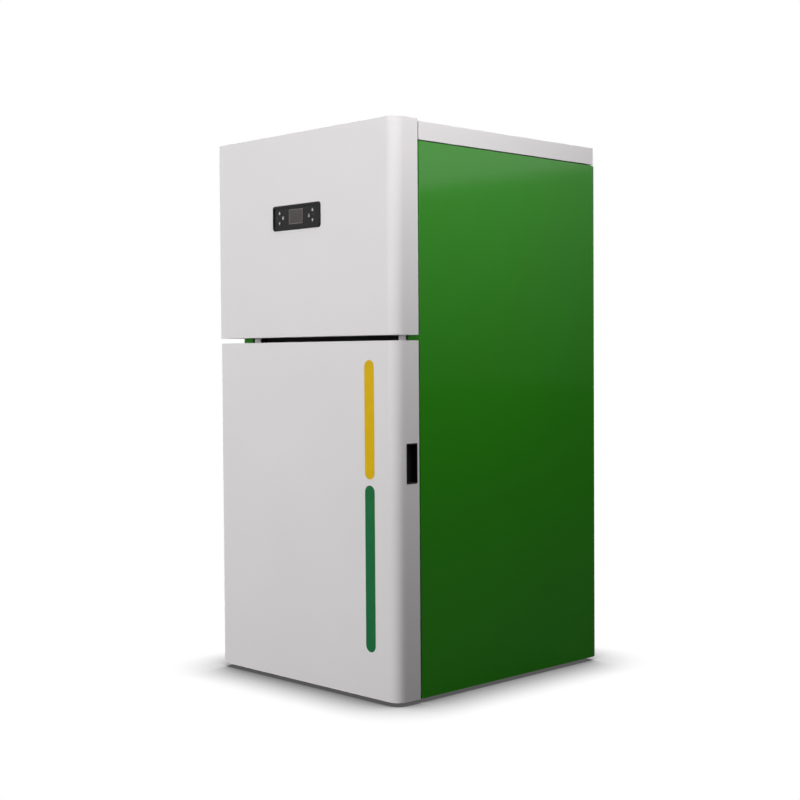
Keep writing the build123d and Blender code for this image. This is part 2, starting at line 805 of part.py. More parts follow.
def make_turbulator(x, y):
    """A strip folded to and fro, hanging in one fire tube."""
    steps = 9
    drop = block_top - firebox_top - 30.0
    points = [(0, rack_z)]
    points += [((-1) ** step * 7.0, rack_z - 6 - step * drop / steps) for step in range(steps + 1)]
    line = Polyline(*points)
    face = make_face(offset(line, amount=1.6, side=Side.LEFT, kind=Kind.INTERSECTION))
    strip = extrude(Plane.YZ * face, amount=17, both=True)
    return Pos(x, y, 0) * strip


def make_turbulator_rack():
    half = (tube_columns - 1) / 2 * tube_pitch + 25
    rack = block(-half, half, tube_rows[0] - 14, tube_rows[1] + 14, rack_z, rack_z + rack_sheet)
    for x in (-rocker_x, 0, rocker_x):
        rack -= block(x - 22, x + 22, shaft_y - 8, shaft_y + 8, rack_z - 1, rack_z + rack_sheet + 1)
    for x in (-rocker_x, rocker_x):
        tab = block(x - 2, x + 2, pin_rest_y - 9, pin_rest_y + 9, rack_z, pin_rest_z + 9)
        slot = Plane.YZ * SlotOverall(2 * rocker_pin + 3.8, 2 * rocker_pin + 0.8)
        rack += tab - Pos(x, pin_rest_y, pin_rest_z) * extrude(slot, amount=5, both=True)
    return [rack] + [make_turbulator(x, y) for x, y in tube_places]


def make_cleaning_shaft():
    """Cross shaft with two rocker arms inside the smoke box and a hand lever at the right."""
    half = smoke_box_width / 2
    shaft = rod(shaft_radius, (-half - 10, shaft_y, shaft_z), (lever_x + 7, shaft_y, shaft_z))
    turn = Rot(rocker_swing, 0, 0)
    for side in (-1, 1):
        middle = side * (rocker_x - rocker_sheet)
        arm = extrude(Plane.YZ * SlotCenterToCenter(rocker_length, 14), amount=rocker_sheet / 2, both=True)
        shaft += Pos(middle, shaft_y, shaft_z) * turn * Pos(0, -rocker_length / 2, 0) * arm
        shaft += rod(14, (middle - 3, shaft_y, shaft_z), (middle + 3, shaft_y, shaft_z))
        tip = side * (rocker_x + 4)
        shaft += rod(rocker_pin, (middle, pin_rest_y, pin_rest_z), (tip, pin_rest_y, pin_rest_z))
    shaft += rod(15, (lever_x - 7, shaft_y, shaft_z), (lever_x + 7, shaft_y, shaft_z))
    tilt = math.radians(lever_rest_angle)
    along = Vector(0, -math.cos(tilt), -math.sin(tilt))
    pivot = Vector(lever_x, shaft_y, shaft_z)
    tip = pivot + along * lever_length
    shaft += rod(5, pivot, tip)
    return shaft + rod(9, pivot + along * (lever_length - lever_grip_length), tip)


# Flue fan and its spigot
def ringed_spigot(radius, bore, x, z, end):
    """A spigot behind the rear panel and the ring that the pipe pushed over it stops at."""
    start, stop = (x, rear_y, z), (x, rear_y + stop_bead, z)
    ring = fillet(rod(radius + stop_bead, start, stop).edges(), 1.2) - rod(bore, start, stop)
    return [ring, sleeve(radius, bore, stop, (x, end, z))]


scroll_end = 78.0
scroll_tongue = 120.0
scroll_sheet = 2.0
fan_eye = 36.0
fan_y = smoke_rear - scroll_end
outlet_x = fan_x - scroll_large + scroll_outlet / 2
outlet_z = smoke_top + scroll_height / 2


def scroll_outline(inset):
    """Spiral plan outline of the fan scroll with its straight outlet, drawn in by an inset."""
    tongue = scroll_tongue + 2 * inset
    points = []
    for step in range(13):
        turn = tongue - (tongue + 180) * step / 12
        radius = scroll_large - inset - (scroll_large - scroll_small) * (turn + 180) / (scroll_tongue + 180)
        points.append((radius * math.cos(math.radians(turn)), radius * math.sin(math.radians(turn))))
    spiral = Spline(*points)
    end = scroll_end + inset
    left, right = inset - scroll_large, scroll_outlet - scroll_large - inset
    return make_face(spiral + Polyline(points[-1], (left, end), (right, end), points[0]))


def make_fan_scroll():
    """Two spiral plates with the rolled wall between them, open at the outlet."""
    sheet = scroll_sheet
    top = smoke_top + scroll_height
    low_plate = Pos(fan_x, fan_y, smoke_top) * extrude(scroll_outline(0), amount=sheet)
    high_plate = Pos(0, 0, scroll_height - sheet) * low_plate
    low_plate -= rod(fan_eye, (fan_x, fan_y, smoke_top - 1), (fan_x, fan_y, smoke_top + 3))
    high_plate -= rod(12, (fan_x, fan_y, top - 3), (fan_x, fan_y, top + 1))
    wall = extrude(scroll_outline(0) - scroll_outline(sheet), amount=scroll_height - 2 * sheet)
    return [low_plate, high_plate, Pos(fan_x, fan_y, smoke_top + sheet) * wall]


def make_fan_impeller():
    low = smoke_top + 12
    high = smoke_top + scroll_height - 14
    wheel = rod(impeller_radius, (fan_x, fan_y, high), (fan_x, fan_y, high + 3))
    wheel += rod(12, (fan_x, fan_y, low + 10), (fan_x, fan_y, high + 8))
    blade = block(14, impeller_radius - 1, -1.5, 1.5, low, high + 1)
    for step in range(impeller_blades):
        wheel += Pos(fan_x, fan_y, 0) * Rot(0, 0, step * 360 / impeller_blades) * blade
    return wheel + rod(4, (fan_x, fan_y, high), (fan_x, fan_y, smoke_top + scroll_height + 30))


def make_fan_motor():
    low = smoke_top + scroll_height
    motor = rod(motor_radius, (fan_x, fan_y, low + 6), (fan_x, fan_y, low + motor_height))
    motor = fillet(motor.edges().sort_by(Axis.Z)[-1], 8)
    motor += rod(motor_radius + 10, (fan_x, fan_y, low), (fan_x, fan_y, low + 6))
    return motor - rod(4 + running_gap, (fan_x, fan_y, low - 1), (fan_x, fan_y, low + 31))


def make_flue_spigot():
    """Square-to-round piece on the fan's outlet and the round flue spigot behind it."""
    start = fan_y + scroll_end
    end = start + 12
    duct = flue_radius - duct_step
    mouth = Plane.XZ.offset(-start) * Pos(outlet_x, outlet_z) * Rectangle(scroll_outlet, scroll_height)
    ring = Plane.XZ.offset(-end) * Pos(outlet_x, outlet_z) * Circle(duct)
    inner_mouth = Plane.XZ.offset(-start) * Pos(outlet_x, outlet_z) * Rectangle(
        scroll_outlet - 2 * scroll_sheet, scroll_height - 2 * scroll_sheet
    )
    inner_ring = Plane.XZ.offset(-end) * Pos(outlet_x, outlet_z) * Circle(duct - scroll_sheet)
    neck = loft([mouth, ring]) - loft([inner_mouth, inner_ring])
    tube = sleeve(duct, duct - scroll_sheet, (outlet_x, end, outlet_z), (outlet_x, rear_y, outlet_z))
    return [neck, tube] + ringed_spigot(flue_radius, flue_radius - scroll_sheet, outlet_x, outlet_z, reach_y)


# Pipes and the water side
def make_air_pipe():
    start = (0, block_rear, air_z)
    duct = air_pipe_radius - duct_step
    pipe = sleeve(duct, duct - air_pipe_wall, start, (0, rear_y, air_z))
    flange = sleeve(air_pipe_radius + 10, duct, start, (0, block_rear + 4, air_z))
    bore = air_pipe_radius - air_pipe_wall
    return [pipe, flange] + ringed_spigot(air_pipe_radius, bore, 0, air_z, reach_y - 10)


def make_supply_pipe():
    """Supply pipe: a flange, two lengths with the safety valve's tee between them, and the wider tail."""
    x, z = supply_x, supply_z
    low, high, end = tee_y - tee_half, tee_y + tee_half, reach_y - tail_length
    flange = sleeve(24, water_pipe_radius, (x, block_rear, z), (x, block_rear + 6, z))
    inner = sleeve(water_pipe_radius, water_pipe_bore, (x, block_rear, z), (x, low, z))
    outer = sleeve(water_pipe_radius, water_pipe_bore, (x, high, z), (x, end, z))
    tee = rod(20, (x, low, z), (x, high, z)) + rod(15, (x, tee_y, z), (x, tee_y, z + tee_rise))
    tee -= rod(water_pipe_bore, (x, low, z), (x, high, z))
    tee -= rod(8, (x, tee_y, z), (x, tee_y, z + tee_rise + 1))
    tail = sleeve(tail_radius, water_pipe_bore, (x, end, z), (x, reach_y, z))
    return [flange, inner, tee, outer, tail]


tee_y = block_rear + 70.0
tee_rise = 34.0
tee_half = 22.0
pump_length = 130.0
pump_y = block_rear + 86.0
pump_low = return_z + 90.0
pump_high = pump_low + pump_length


def make_return_pipe():
    """Two bent lengths, up to the pump and from the pump into the block, and the wider tail."""
    end = reach_y - tail_length
    lower = bent_pipe(
        [(return_x, end, return_z), (return_x, pump_y, return_z), (return_x, pump_y, pump_low)],
        water_pipe_radius, water_pipe_bore, 40
    )
    tail = sleeve(tail_radius, water_pipe_bore, (return_x, end, return_z), (return_x, reach_y, return_z))
    entry = (return_x, block_rear, return_entry_z)
    upper = bent_pipe(
        [(return_x, pump_y, pump_high), (return_x, pump_y, return_entry_z), entry],
        water_pipe_radius, water_pipe_bore, 40
    )
    collar = sleeve(24, water_pipe_radius, entry, (return_x, block_rear + 6, return_entry_z))
    return [lower, tail, upper, collar]


def make_pump():
    """Circulation pump: unions at both ends, a cast belly and its motor can to the left."""
    middle = (pump_low + pump_high) / 2
    profile = Polyline(
        (0, pump_low), (26, pump_low), (26, pump_low + 22), (19, pump_low + 26), (19, middle - 30),
        (38, middle - 16), (38, middle + 16), (19, middle + 30), (19, pump_high - 26), (26, pump_high - 22),
        (26, pump_high), (0, pump_high), close=True
    )
    pump = Pos(return_x, pump_y, 0) * revolve(Plane.XZ * make_face(profile), axis=Axis.Z)
    can = rod(42, (return_x - 26, pump_y, middle), (return_x - 110, pump_y, middle))
    can = fillet(can.edges().sort_by(Axis.X)[0], 6)
    terminal = block(return_x - 84, return_x - 40, pump_y - 26, pump_y + 26, middle + 34, middle + 62)
    terminal = fillet(terminal.edges().filter_by(Axis.Z), 5)
    return pump + can + terminal


vessel_x = 110.0
vessel_z = 410.0
vessel_radius = 140.0


def make_vessel():
    """Flat round expansion vessel, hung on the rear panel by its middle boss."""
    rear = inner_rear - 8
    front = rear - 86
    edge, shoulder = vessel_radius - 30, vessel_radius - 6
    profile = [
        Line((0, front), (edge, front + 8)),
        ThreePointArc((edge, front + 8), (shoulder, front + 20), (vessel_radius, front + 43)),
        ThreePointArc((vessel_radius, front + 43), (shoulder, rear - 20), (edge, rear - 8)),
        Line((edge, rear - 8), (0, rear)),
        Line((0, rear), (0, front)),
    ]
    vessel = revolve(make_face(profile[0] + profile[1:]), axis=Axis.Y)
    vessel = Pos(vessel_x, 0, vessel_z) * vessel
    middle = (front + rear) / 2
    vessel += rod(vessel_radius + 3, (vessel_x, middle - 5, vessel_z), (vessel_x, middle + 5, vessel_z))
    vessel += rod(15, (vessel_x, rear - 1, vessel_z), (vessel_x, inner_rear, vessel_z))
    low = vessel_z - vessel_radius
    return vessel + rod(8, (vessel_x, middle, low + 4), (vessel_x, middle, low - 26))


def make_safety_valve():
    x, y, low = supply_x, tee_y, supply_z + tee_rise
    valve = rod(13, (x, y, low), (x, y, low + 34)) + rod(9, (x, y, low + 16), (x + 30, y, low + 16))
    cap = extrude(RegularPolygon(17, 8), amount=18)
    return valve + Pos(x, y, low + 34) * cap


def make_drain_tap():
    start = (drain_x, block_rear, drain_z)
    duct = drain_radius - duct_step
    pipe = sleeve(duct, drain_bore, start, (drain_x, rear_y, drain_z))
    flange = sleeve(20, duct, start, (drain_x, block_rear + 5, drain_z))
    return [pipe, flange] + ringed_spigot(drain_radius, drain_bore, drain_x, drain_z, reach_y - 14)


# Mains inlet with its rocker switch, in the rear panel
rocker_pin_radius = 2.0
switch_tilt = 9.0
switch_z = inlet_z + 28.0
rocker_ends = [(inlet_x + side * 9, rear_y - 3, switch_z) for side in (-1, 1)]


def make_mains_inlet():
    flange = block(inlet_x - 18, inlet_x + 18, rear_y, rear_y + 3, inlet_z - 28, inlet_z + 54)
    flange = fillet(flange.edges().filter_by(Axis.Y), 4)
    body = block(inlet_x - 13.5, inlet_x + 13.5, inner_rear - 26, rear_y, inlet_z - 23.5, inlet_z + 49.5)
    inlet = flange + body
    inlet -= block(inlet_x - 11.5, inlet_x + 11.5, rear_y - 17, rear_y + 4, inlet_z - 21, inlet_z + 8)
    for x, z in ((-7, -4), (7, -4), (0, -10)):
        inlet += block(
            inlet_x + x - 1, inlet_x + x + 1, rear_y - 18, rear_y - 3, inlet_z + z - 2.5, inlet_z + z + 2.5
        )
    inlet -= block(inlet_x - 8, inlet_x + 8, rear_y - 14, rear_y + 4, switch_z - 12.5, switch_z + 12.5)
    return inlet + rod(rocker_pin_radius, *rocker_ends)


def make_mains_switch():
    """Rocker at rest with its lower half pressed in."""
    profile = Polyline((-4, -9), (4.5, -10), (2.5, 0), (4.5, 10), (-4, 9), close=True)
    rocker = extrude(Plane.YZ * make_face(profile), amount=7.5, both=True)
    rocker = Pos(inlet_x, rear_y - 3, switch_z) * Rot(-switch_tilt, 0, 0) * rocker
    return rocker - rod(rocker_pin_radius + running_gap, *rocker_ends)


# Upper front cover with its control panel
def make_cover_bracket(z):
    """Folded bracket from a post to the inside of the cover's return."""
    edge = post_x + post_width / 2
    points = [
        (inner_half, body_front - 46), (inner_half, body_front - 34), (edge - 1, body_front - 34),
        (edge - 1, body_front), (edge - post_width + 2, body_front)
    ]
    return plan_sheet(points, 2.0, 3.0, z, z + 45)


def make_cover_brackets():
    pieces = []
    for z in (upper_cover_bottom + 40, overall_height - 130):
        pieces += both_sides(make_cover_bracket(z))
    return pieces


tub_width = bezel_width - 2 * bezel_rim
tub_height = bezel_height - 2 * bezel_rim
tub_wall = 2.0
tub_rear = front_y + 11.0
face_front = front_y - bezel_proud + face_recess
face_back = face_front + face_plate
key_places = {
    "key_left_up": (-key_arrow_x, key_arrow_z),
    "key_left_down": (-key_arrow_x, -key_arrow_z),
    "key_left_inner": (-key_inner_x, 0),
    "key_right_up": (key_arrow_x, key_arrow_z),
    "key_right_down": (key_arrow_x, -key_arrow_z),
    "key_right_inner": (key_inner_x, 0),
}


def make_upper_cover():
    cover = cover_pan(-half_width, half_width, upper_cover_bottom, overall_height)
    window = rounded_slab(
        tub_width + 2 * tub_wall + 1, tub_height + 2 * tub_wall + 1, bezel_corner, front_y - 1,
        front_y + casing_sheet + 1, bezel_centre_x, bezel_z
    )
    return cover - window


def make_bezel():
    """Frame with a bevelled rim, a sunk face and a short tub through the cover."""
    face = front_y - bezel_proud
    rim = rounded_slab(bezel_width, bezel_height, bezel_corner, face, front_y, bezel_centre_x, bezel_z)
    rim = chamfer(rim.faces().sort_by(Axis.Y)[0].edges(), 1.6)
    tub = rounded_slab(
        tub_width + 2 * tub_wall, tub_height + 2 * tub_wall, bezel_corner - 1, front_y, tub_rear,
        bezel_centre_x, bezel_z
    )
    bezel = rim + tub
    bezel -= rounded_slab(tub_width, tub_height, 4, face - 1, face_front, bezel_centre_x, bezel_z)
    bezel -= rounded_slab(tub_width, tub_height, 4, face_back, tub_rear + 1, bezel_centre_x, bezel_z)
    bezel -= block(
        bezel_centre_x + window_shift_x - window_width / 2, bezel_centre_x + window_shift_x + window_width / 2,
        face_front - 1, face_back + 1,
        bezel_z + window_shift_z - window_height / 2, bezel_z + window_shift_z + window_height / 2
    )
    for x, z in key_places.values():
        place = (bezel_centre_x + x, face_front - 1, bezel_z + z)
        bezel -= rod(key_radius + key_clearance, place, (place[0], face_back + 1, place[2]))
    return bezel


def make_window():
    gap = 0.15
    x = bezel_centre_x + window_shift_x
    z = bezel_z + window_shift_z
    half_x, half_z = window_width / 2 - gap, window_height / 2 - gap
    glass = block(x - half_x, x + half_x, face_front + 0.4, face_back, z - half_z, z + half_z)
    rim = block(x - half_x - 3, x + half_x + 3, face_back, face_back + 1, z - half_z - 2, z + half_z + 2)
    return glass + rim


def make_key(x, z):
    x, z = bezel_centre_x + x, bezel_z + z
    cap = rod(key_radius, (x, face_front - key_proud, z), (x, face_back + 1, z))
    cap = fillet(cap.edges().sort_by(Axis.Y)[0], 0.6)
    return cap + rod(key_radius + 0.9, (x, face_back + 0.2, z), (x, face_back + 1.4, z))


def make_control_box():
    low = front_y + casing_sheet
    box = rounded_slab(box_width, box_height, 8, low, low + box_depth, bezel_centre_x, bezel_z)
    return offset(box, amount=-box_wall, openings=box.faces().sort_by(Axis.Y)[0])


board_y = tub_rear


def make_control_board():
    board = rounded_slab(tub_width + 2, tub_height + 2, 3, board_y, board_y + 1.6, bezel_centre_x, bezel_z)
    for x in (-80, 80):
        place = bezel_centre_x + x
        back = front_y + casing_sheet + box_depth - box_wall
        board += rod(3, (place, board_y + 1.6, bezel_z), (place, back, bezel_z))
    return board


# Lower door, hung at the left on bent arms
door_left = -half_width + hinge_side_reveal
pivot_x = door_left + pivot_from_side
pivot_y = cover_rear - pivot_from_return
hinge_heights = [hinge_low_z, hinge_high_z]
handle_front = front_y + handle_from_front


def make_lower_door():
    door = cover_pan(door_left, half_width, foot_gap, door_top)
    cut = block(
        half_width - casing_sheet - 1, half_width + 1, handle_front + handle_rim,
        handle_front + handle_width - handle_rim, handle_bottom + handle_rim,
        handle_bottom + handle_height - handle_rim
    )
    return door - fillet(cut.edges().filter_by(Axis.X), 2)


def make_handle_cup():
    """Moulded finger cup set in the door's right return, with a thin rim outside."""
    rim = block(
        half_width, half_width + handle_rim_proud, handle_front, handle_front + handle_width, handle_bottom,
        handle_bottom + handle_height
    )
    rim = fillet(rim.edges().filter_by(Axis.X), 3)
    inset = handle_rim + 0.2
    cup = block(
        half_width - handle_depth, half_width, handle_front + inset, handle_front + handle_width - inset,
        handle_bottom + inset, handle_bottom + handle_height - inset
    )
    cup = fillet(cup.edges().filter_by(Axis.X), 1.8)
    inset += handle_wall
    hollow = block(
        half_width - handle_depth + handle_wall, half_width + 2, handle_front + inset,
        handle_front + handle_width - inset, handle_bottom + inset, handle_bottom + handle_height - inset
    )
    return rim + cup - hollow


def make_hinge_arms():
    """Bent arms from the left front post round the door's return, each with an upright pin."""
    arms = []
    neck_x = pivot_x + hinge_neck
    half = hinge_bar / 2
    for z in hinge_heights:
        arm = block(pivot_x, neck_x + half, pivot_y - half, pivot_y + half, z, z + hinge_bar)
        arm += block(neck_x - half, neck_x + half, pivot_y, body_front, z, z + hinge_bar)
        upright = arm.edges().filter_by(Axis.Z)
        arm = fillet(upright.sort_by_distance((neck_x + half, pivot_y - half, z))[:1], 4)
        arm += rod(9, (pivot_x, pivot_y, z), (pivot_x, pivot_y, z + hinge_bar))
        arm += rod(hinge_pin_radius, (pivot_x, pivot_y, z), (pivot_x, pivot_y, z + hinge_bar + 20))
        arms.append(arm)
    return arms


def make_hinge_lugs():
    """Lugs welded inside the door's left return, which drop over the pins."""
    lugs = []
    for z in hinge_heights:
        low = z + hinge_bar + 0.3
        lug = block(door_left + casing_sheet, pivot_x, pivot_y - 9, pivot_y + 9, low, low + 15)
        lug += rod(9, (pivot_x, pivot_y, low), (pivot_x, pivot_y, low + 15))
        inside = door_left + casing_sheet
        lug += block(inside, inside + 3, pivot_y - 20, pivot_y + 20, low, low + 40)
        bore = rod(hinge_pin_radius + running_gap, (pivot_x, pivot_y, low - 1), (pivot_x, pivot_y, low + 16))
        lugs.append(lug - bore)
    return lugs


magnet_depth = 10.0
magnet_heights = [160.0, 740.0]


def make_magnets():
    return [
        block(half_width - 34, half_width - 14, body_front - magnet_depth, body_front, z, z + 50)
        for z in magnet_heights
    ]


def make_strikes():
    """Angle plates inside the door's free side that meet the magnets."""
    strikes = []
    face = body_front - magnet_depth - 0.3
    for z in magnet_heights:
        points = [(inner_half, face - 34), (inner_half, face), (half_width - 40, face)]
        strikes.append(plan_sheet(points, 2.0, 2.5, z, z + 50))
    return strikes


def group(pieces):
    return Compound(children=[piece.solid() if hasattr(piece, "solid") else piece for piece in pieces])


parts = {
    "base_frame": make_base_frame(),
    "levelling_feet": group([make_foot(x, y) for x, y in foot_places]),
    "left_side_panel": mirror(make_side_panel(), about=Plane.YZ),
    "right_side_panel": make_side_panel(),
    "rear_panel": make_rear_panel(),
    "top_frame": make_top_frame(),
    "corner_posts": group(make_posts()),
    "inner_front_panel": make_inner_front_panel(),
    "hopper_lid": make_lid(),
    "lid_hinge_leaves": group([make_lid_hinge_leaf(x) for x in (-lid_hinge_x, lid_hinge_x)]),
    "lid_hinge_knuckles": group([make_lid_hinge_knuckle(x) for x in (-lid_hinge_x, lid_hinge_x)]),
    "hopper": group(make_hopper()),
    "hopper_gasket": make_gasket(),
    "hopper_grid": make_grid(),
    "auger_tube": make_auger_tube(),
    "auger_screw": make_auger_screw(),
    "auger_gearmotor": make_gearmotor(),
    "feed_chute": make_feed_chute(),
    "boiler_body": group(make_boiler_body()),
    "insulation_mats": group(make_insulation()),
    "burner_pot": make_burner_pot(),
    "igniter": make_igniter(),
    "firebox_door": make_firebox_door(),
    "firebox_rope_seal": make_rope(),
    "firebox_handle": make_firebox_handle(),
    "ash_drawer": make_ash_drawer(),
    "smoke_box": make_smoke_box(),
    "turbulator_rack": group(make_turbulator_rack()),
    "cleaning_shaft": make_cleaning_shaft(),
    "fan_scroll": group(make_fan_scroll()),
    "fan_impeller": make_fan_impeller(),
    "fan_motor": make_fan_motor(),
    "flue_spigot": group(make_flue_spigot()),
    "air_inlet_pipe": group(make_air_pipe()),
    "supply_pipe": group(make_supply_pipe()),
    "return_pipe": group(make_return_pipe()),
    "circulation_pump": make_pump(),
    "expansion_vessel": make_vessel(),
    "safety_valve": make_safety_valve(),
    "drain_tap": group(make_drain_tap()),
    "mains_inlet": make_mains_inlet(),
    "mains_switch": make_mains_switch(),
    "upper_front_cover": make_upper_cover(),
    "cover_brackets": group(make_cover_brackets()),
    "display_bezel": make_bezel(),
    "display_window": make_window(),
    "control_box": make_control_box(),
    "control_board": make_control_board(),
    "lower_door": make_lower_door(),
    "door_handle_cup": make_handle_cup(),
    "door_hinge_arms": group(make_hinge_arms()),
    "door_hinge_lugs": group(make_hinge_lugs()),
    "door_magnets": group(make_magnets()),
    "door_strikes": group(make_strikes()),
}
for name, (x, z) in key_places.items():
    parts[name] = make_key(x, z)

os.makedirs("parts", exist_ok=True)
for name, solid in parts.items():
    export_step(solid, f"parts/{name}.step")
    print(name, round(solid.volume / 1000, 1))
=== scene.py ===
import json
import math

import bmesh
import bpy
import numpy as np
from mathutils import Matrix, Vector


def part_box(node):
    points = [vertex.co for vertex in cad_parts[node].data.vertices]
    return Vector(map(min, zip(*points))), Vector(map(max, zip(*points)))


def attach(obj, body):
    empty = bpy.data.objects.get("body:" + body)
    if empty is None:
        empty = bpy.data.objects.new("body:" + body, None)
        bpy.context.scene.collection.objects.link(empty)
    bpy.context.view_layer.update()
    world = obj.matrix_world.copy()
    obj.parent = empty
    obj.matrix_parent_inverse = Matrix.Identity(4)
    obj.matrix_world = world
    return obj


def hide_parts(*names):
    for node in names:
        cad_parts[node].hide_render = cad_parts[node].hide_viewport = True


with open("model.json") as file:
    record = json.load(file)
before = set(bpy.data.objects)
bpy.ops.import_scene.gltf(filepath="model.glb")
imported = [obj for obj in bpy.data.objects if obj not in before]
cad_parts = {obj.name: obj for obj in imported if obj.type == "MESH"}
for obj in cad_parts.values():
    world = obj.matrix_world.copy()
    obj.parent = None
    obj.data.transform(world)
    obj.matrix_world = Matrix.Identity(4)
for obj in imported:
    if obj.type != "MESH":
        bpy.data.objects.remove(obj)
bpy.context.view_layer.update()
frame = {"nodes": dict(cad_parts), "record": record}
print("frame loaded:", len(frame["nodes"]), "nodes")

mm = 0.001  # metres; the sizes of the pieces are written in millimetres, as on a drawing
cadNodes = frame["nodes"]
slotOfNode = {row["node"]: row["material_slot"] for row in frame["record"]["subparts"]}
scene = bpy.context.scene


def boxOf(node):
    # lowest and highest corner of a CAD node as numpy arrays
    low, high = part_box(node)
    return np.array(low), np.array(high)


# Materials


def toLinear(hexText, alpha=1.0):
    # sRGB hex to the linear colour that the shader sockets take
    values = [int(hexText[i:i + 2], 16) / 255 for i in (1, 3, 5)]
    linear = [v / 12.92 if v <= 0.04045 else ((v + 0.055) / 1.055) ** 2.4 for v in values]
    return (*linear, alpha)


def addNode(tree, kind, inputs=None, **settings):
    # adds one node, sets its properties, and fills each input with a value or with another node's output
    node = tree.nodes.new("ShaderNode" + kind)
    for name, value in settings.items():
        setattr(node, name, value)
    for name, value in (inputs or {}).items():
        if isinstance(value, bpy.types.NodeSocket):
            tree.links.new(value, node.inputs[name])
        else:
            node.inputs[name].default_value = value
    return node


def startMaterial(name, **sockets):
    # an empty material with one shader; its constants sit on the shader's own sockets
    material = bpy.data.materials.new(name)
    material.use_nodes = True
    tree = material.node_tree
    tree.nodes.clear()
    shader = addNode(tree, "BsdfPrincipled", {
        socket.replace("_", " "): value for socket, value in sockets.items()})
    addNode(tree, "OutputMaterial", {"Surface": shader.outputs["BSDF"]})
    place = addNode(tree, "TexCoord").outputs["Object"]
    return material, tree, shader, place


def perMetre(sizeMm):
    # texture scale for a pattern whose feature is that many millimetres wide
    return 1 / (sizeMm * mm)


paints = {
    # polyester powder coat, sprayed dry and baked: an even satin skin with a fine orange peel
    "powderCoatWhite": dict(
        colour="#E3E0E1", shade="#DFDCDD", roughness=(0.34, 0.40), peel=2.4, depth=0.03, specular=0.5),
    # solvent gloss enamel on smooth sheet: deep colour, sharp reflections, a longer and flatter peel
    "glossEnamelGreen": dict(
        colour="#2D8C12", shade="#2B8710", roughness=(0.05, 0.07), peel=5.0, depth=0.004, specular=0.5),
    # matt black powder coat: hides in the shadow gap, shows a dusty grain up close
    "powderCoatBlack": dict(
        colour="#151515", shade="#1E1E1E", roughness=(0.55, 0.7), peel=1.6, depth=0.05, specular=0.4),
    # dark grey weldable primer on hot-rolled plate: flat, with paler dust in its unevenness
    "boilerPrimer": dict(
        colour="#2C2D2F", shade="#3A3A3B", roughness=(0.5, 0.72), peel=6.0, depth=0.12, specular=0.4),
    # two-part machine enamel on castings and motor cans
    "motorEnamel": dict(
        colour="#34373A", shade="#2D3033", roughness=(0.32, 0.44), peel=3.0, depth=0.06, specular=0.5),
    # red stove enamel of expansion vessels
    "stoveEnamelRed": dict(
        colour="#A31A14", shade="#921410", roughness=(0.22, 0.3), peel=3.5, depth=0.04, specular=0.5),
}


def makePaint(name, coat):
    # colour drifts over 300 mm and gloss over 30 mm, and the peel is a fine bump
    material, tree, shader, place = startMaterial(name, Specular_IOR_Level=coat["specular"])
    drift = addNode(tree, "TexNoise", {"Vector": place, "Scale": perMetre(300), "Detail": 2.0})
    tint = addNode(tree, "ValToRGB", {"Fac": drift.outputs["Fac"]})
    tint.color_ramp.elements[0].position = 0.2
    tint.color_ramp.elements[0].color = toLinear(coat["shade"])
    tint.color_ramp.elements[1].position = 0.8
    tint.color_ramp.elements[1].color = toLinear(coat["colour"])
    tree.links.new(tint.outputs["Color"], shader.inputs["Base Color"])
    patch = addNode(tree, "TexNoise", {"Vector": place, "Scale": perMetre(30), "Detail": 4.0})
    low, high = coat["roughness"]
    gloss = addNode(tree, "MapRange", {
        "Value": patch.outputs["Fac"], "From Min": 0.3, "From Max": 0.7, "To Min": low, "To Max": high})
    tree.links.new(gloss.outputs["Result"], shader.inputs["Roughness"])
    peel = addNode(tree, "TexNoise", {"Vector": place, "Scale": perMetre(coat["peel"]), "Detail": 1.0})
    bump = addNode(tree, "Bump", {
        "Height": peel.outputs["Fac"], "Strength": 0.6, "Distance": coat["depth"] * mm})
    tree.links.new(bump.outputs["Normal"], shader.inputs["Normal"])
    return material


sheets = {
    # hot-dip galvanised sheet: grey zinc with spangle cells of 8 to 12 mm
    "galvanisedSheet": dict(
        colour="#ABB0B3", shade="#979DA0", roughness=(0.36, 0.5), metallic=0.45,
        spangle=9.0, stretch=(1, 1, 1), depth=0.02),
    # plain steel, turned or drawn, lightly oiled: fine lines from the tool
    "turnedSteel": dict(
        colour="#9C9DA0", shade="#7C7D80", roughness=(0.25, 0.42), metallic=0.85,
        spangle=2.0, stretch=(0.15, 1, 1), depth=0.02),
    # weld metal, brushed after welding: brown and grey heat tones
    "weldedSteel": dict(
        colour="#6F6C68", shade="#474747", roughness=(0.35, 0.55), metallic=0.7,
        spangle=3.0, stretch=(1, 1, 1), depth=0.03),
    # brushed stainless: bright with short straight scratches
    "brushedStainless": dict(
        colour="#C4C5C6", shade="#ABACAE", roughness=(0.2, 0.34), metallic=0.95,
        spangle=1.2, stretch=(0.08, 1, 1), depth=0.01),
    # cast and machined brass: warm, with slightly darker patches where it was handled
    "castBrass": dict(
        colour="#B5904A", shade="#93713A", roughness=(0.25, 0.42), metallic=0.9,
        spangle=6.0, stretch=(1, 1, 1), depth=0.02),
}


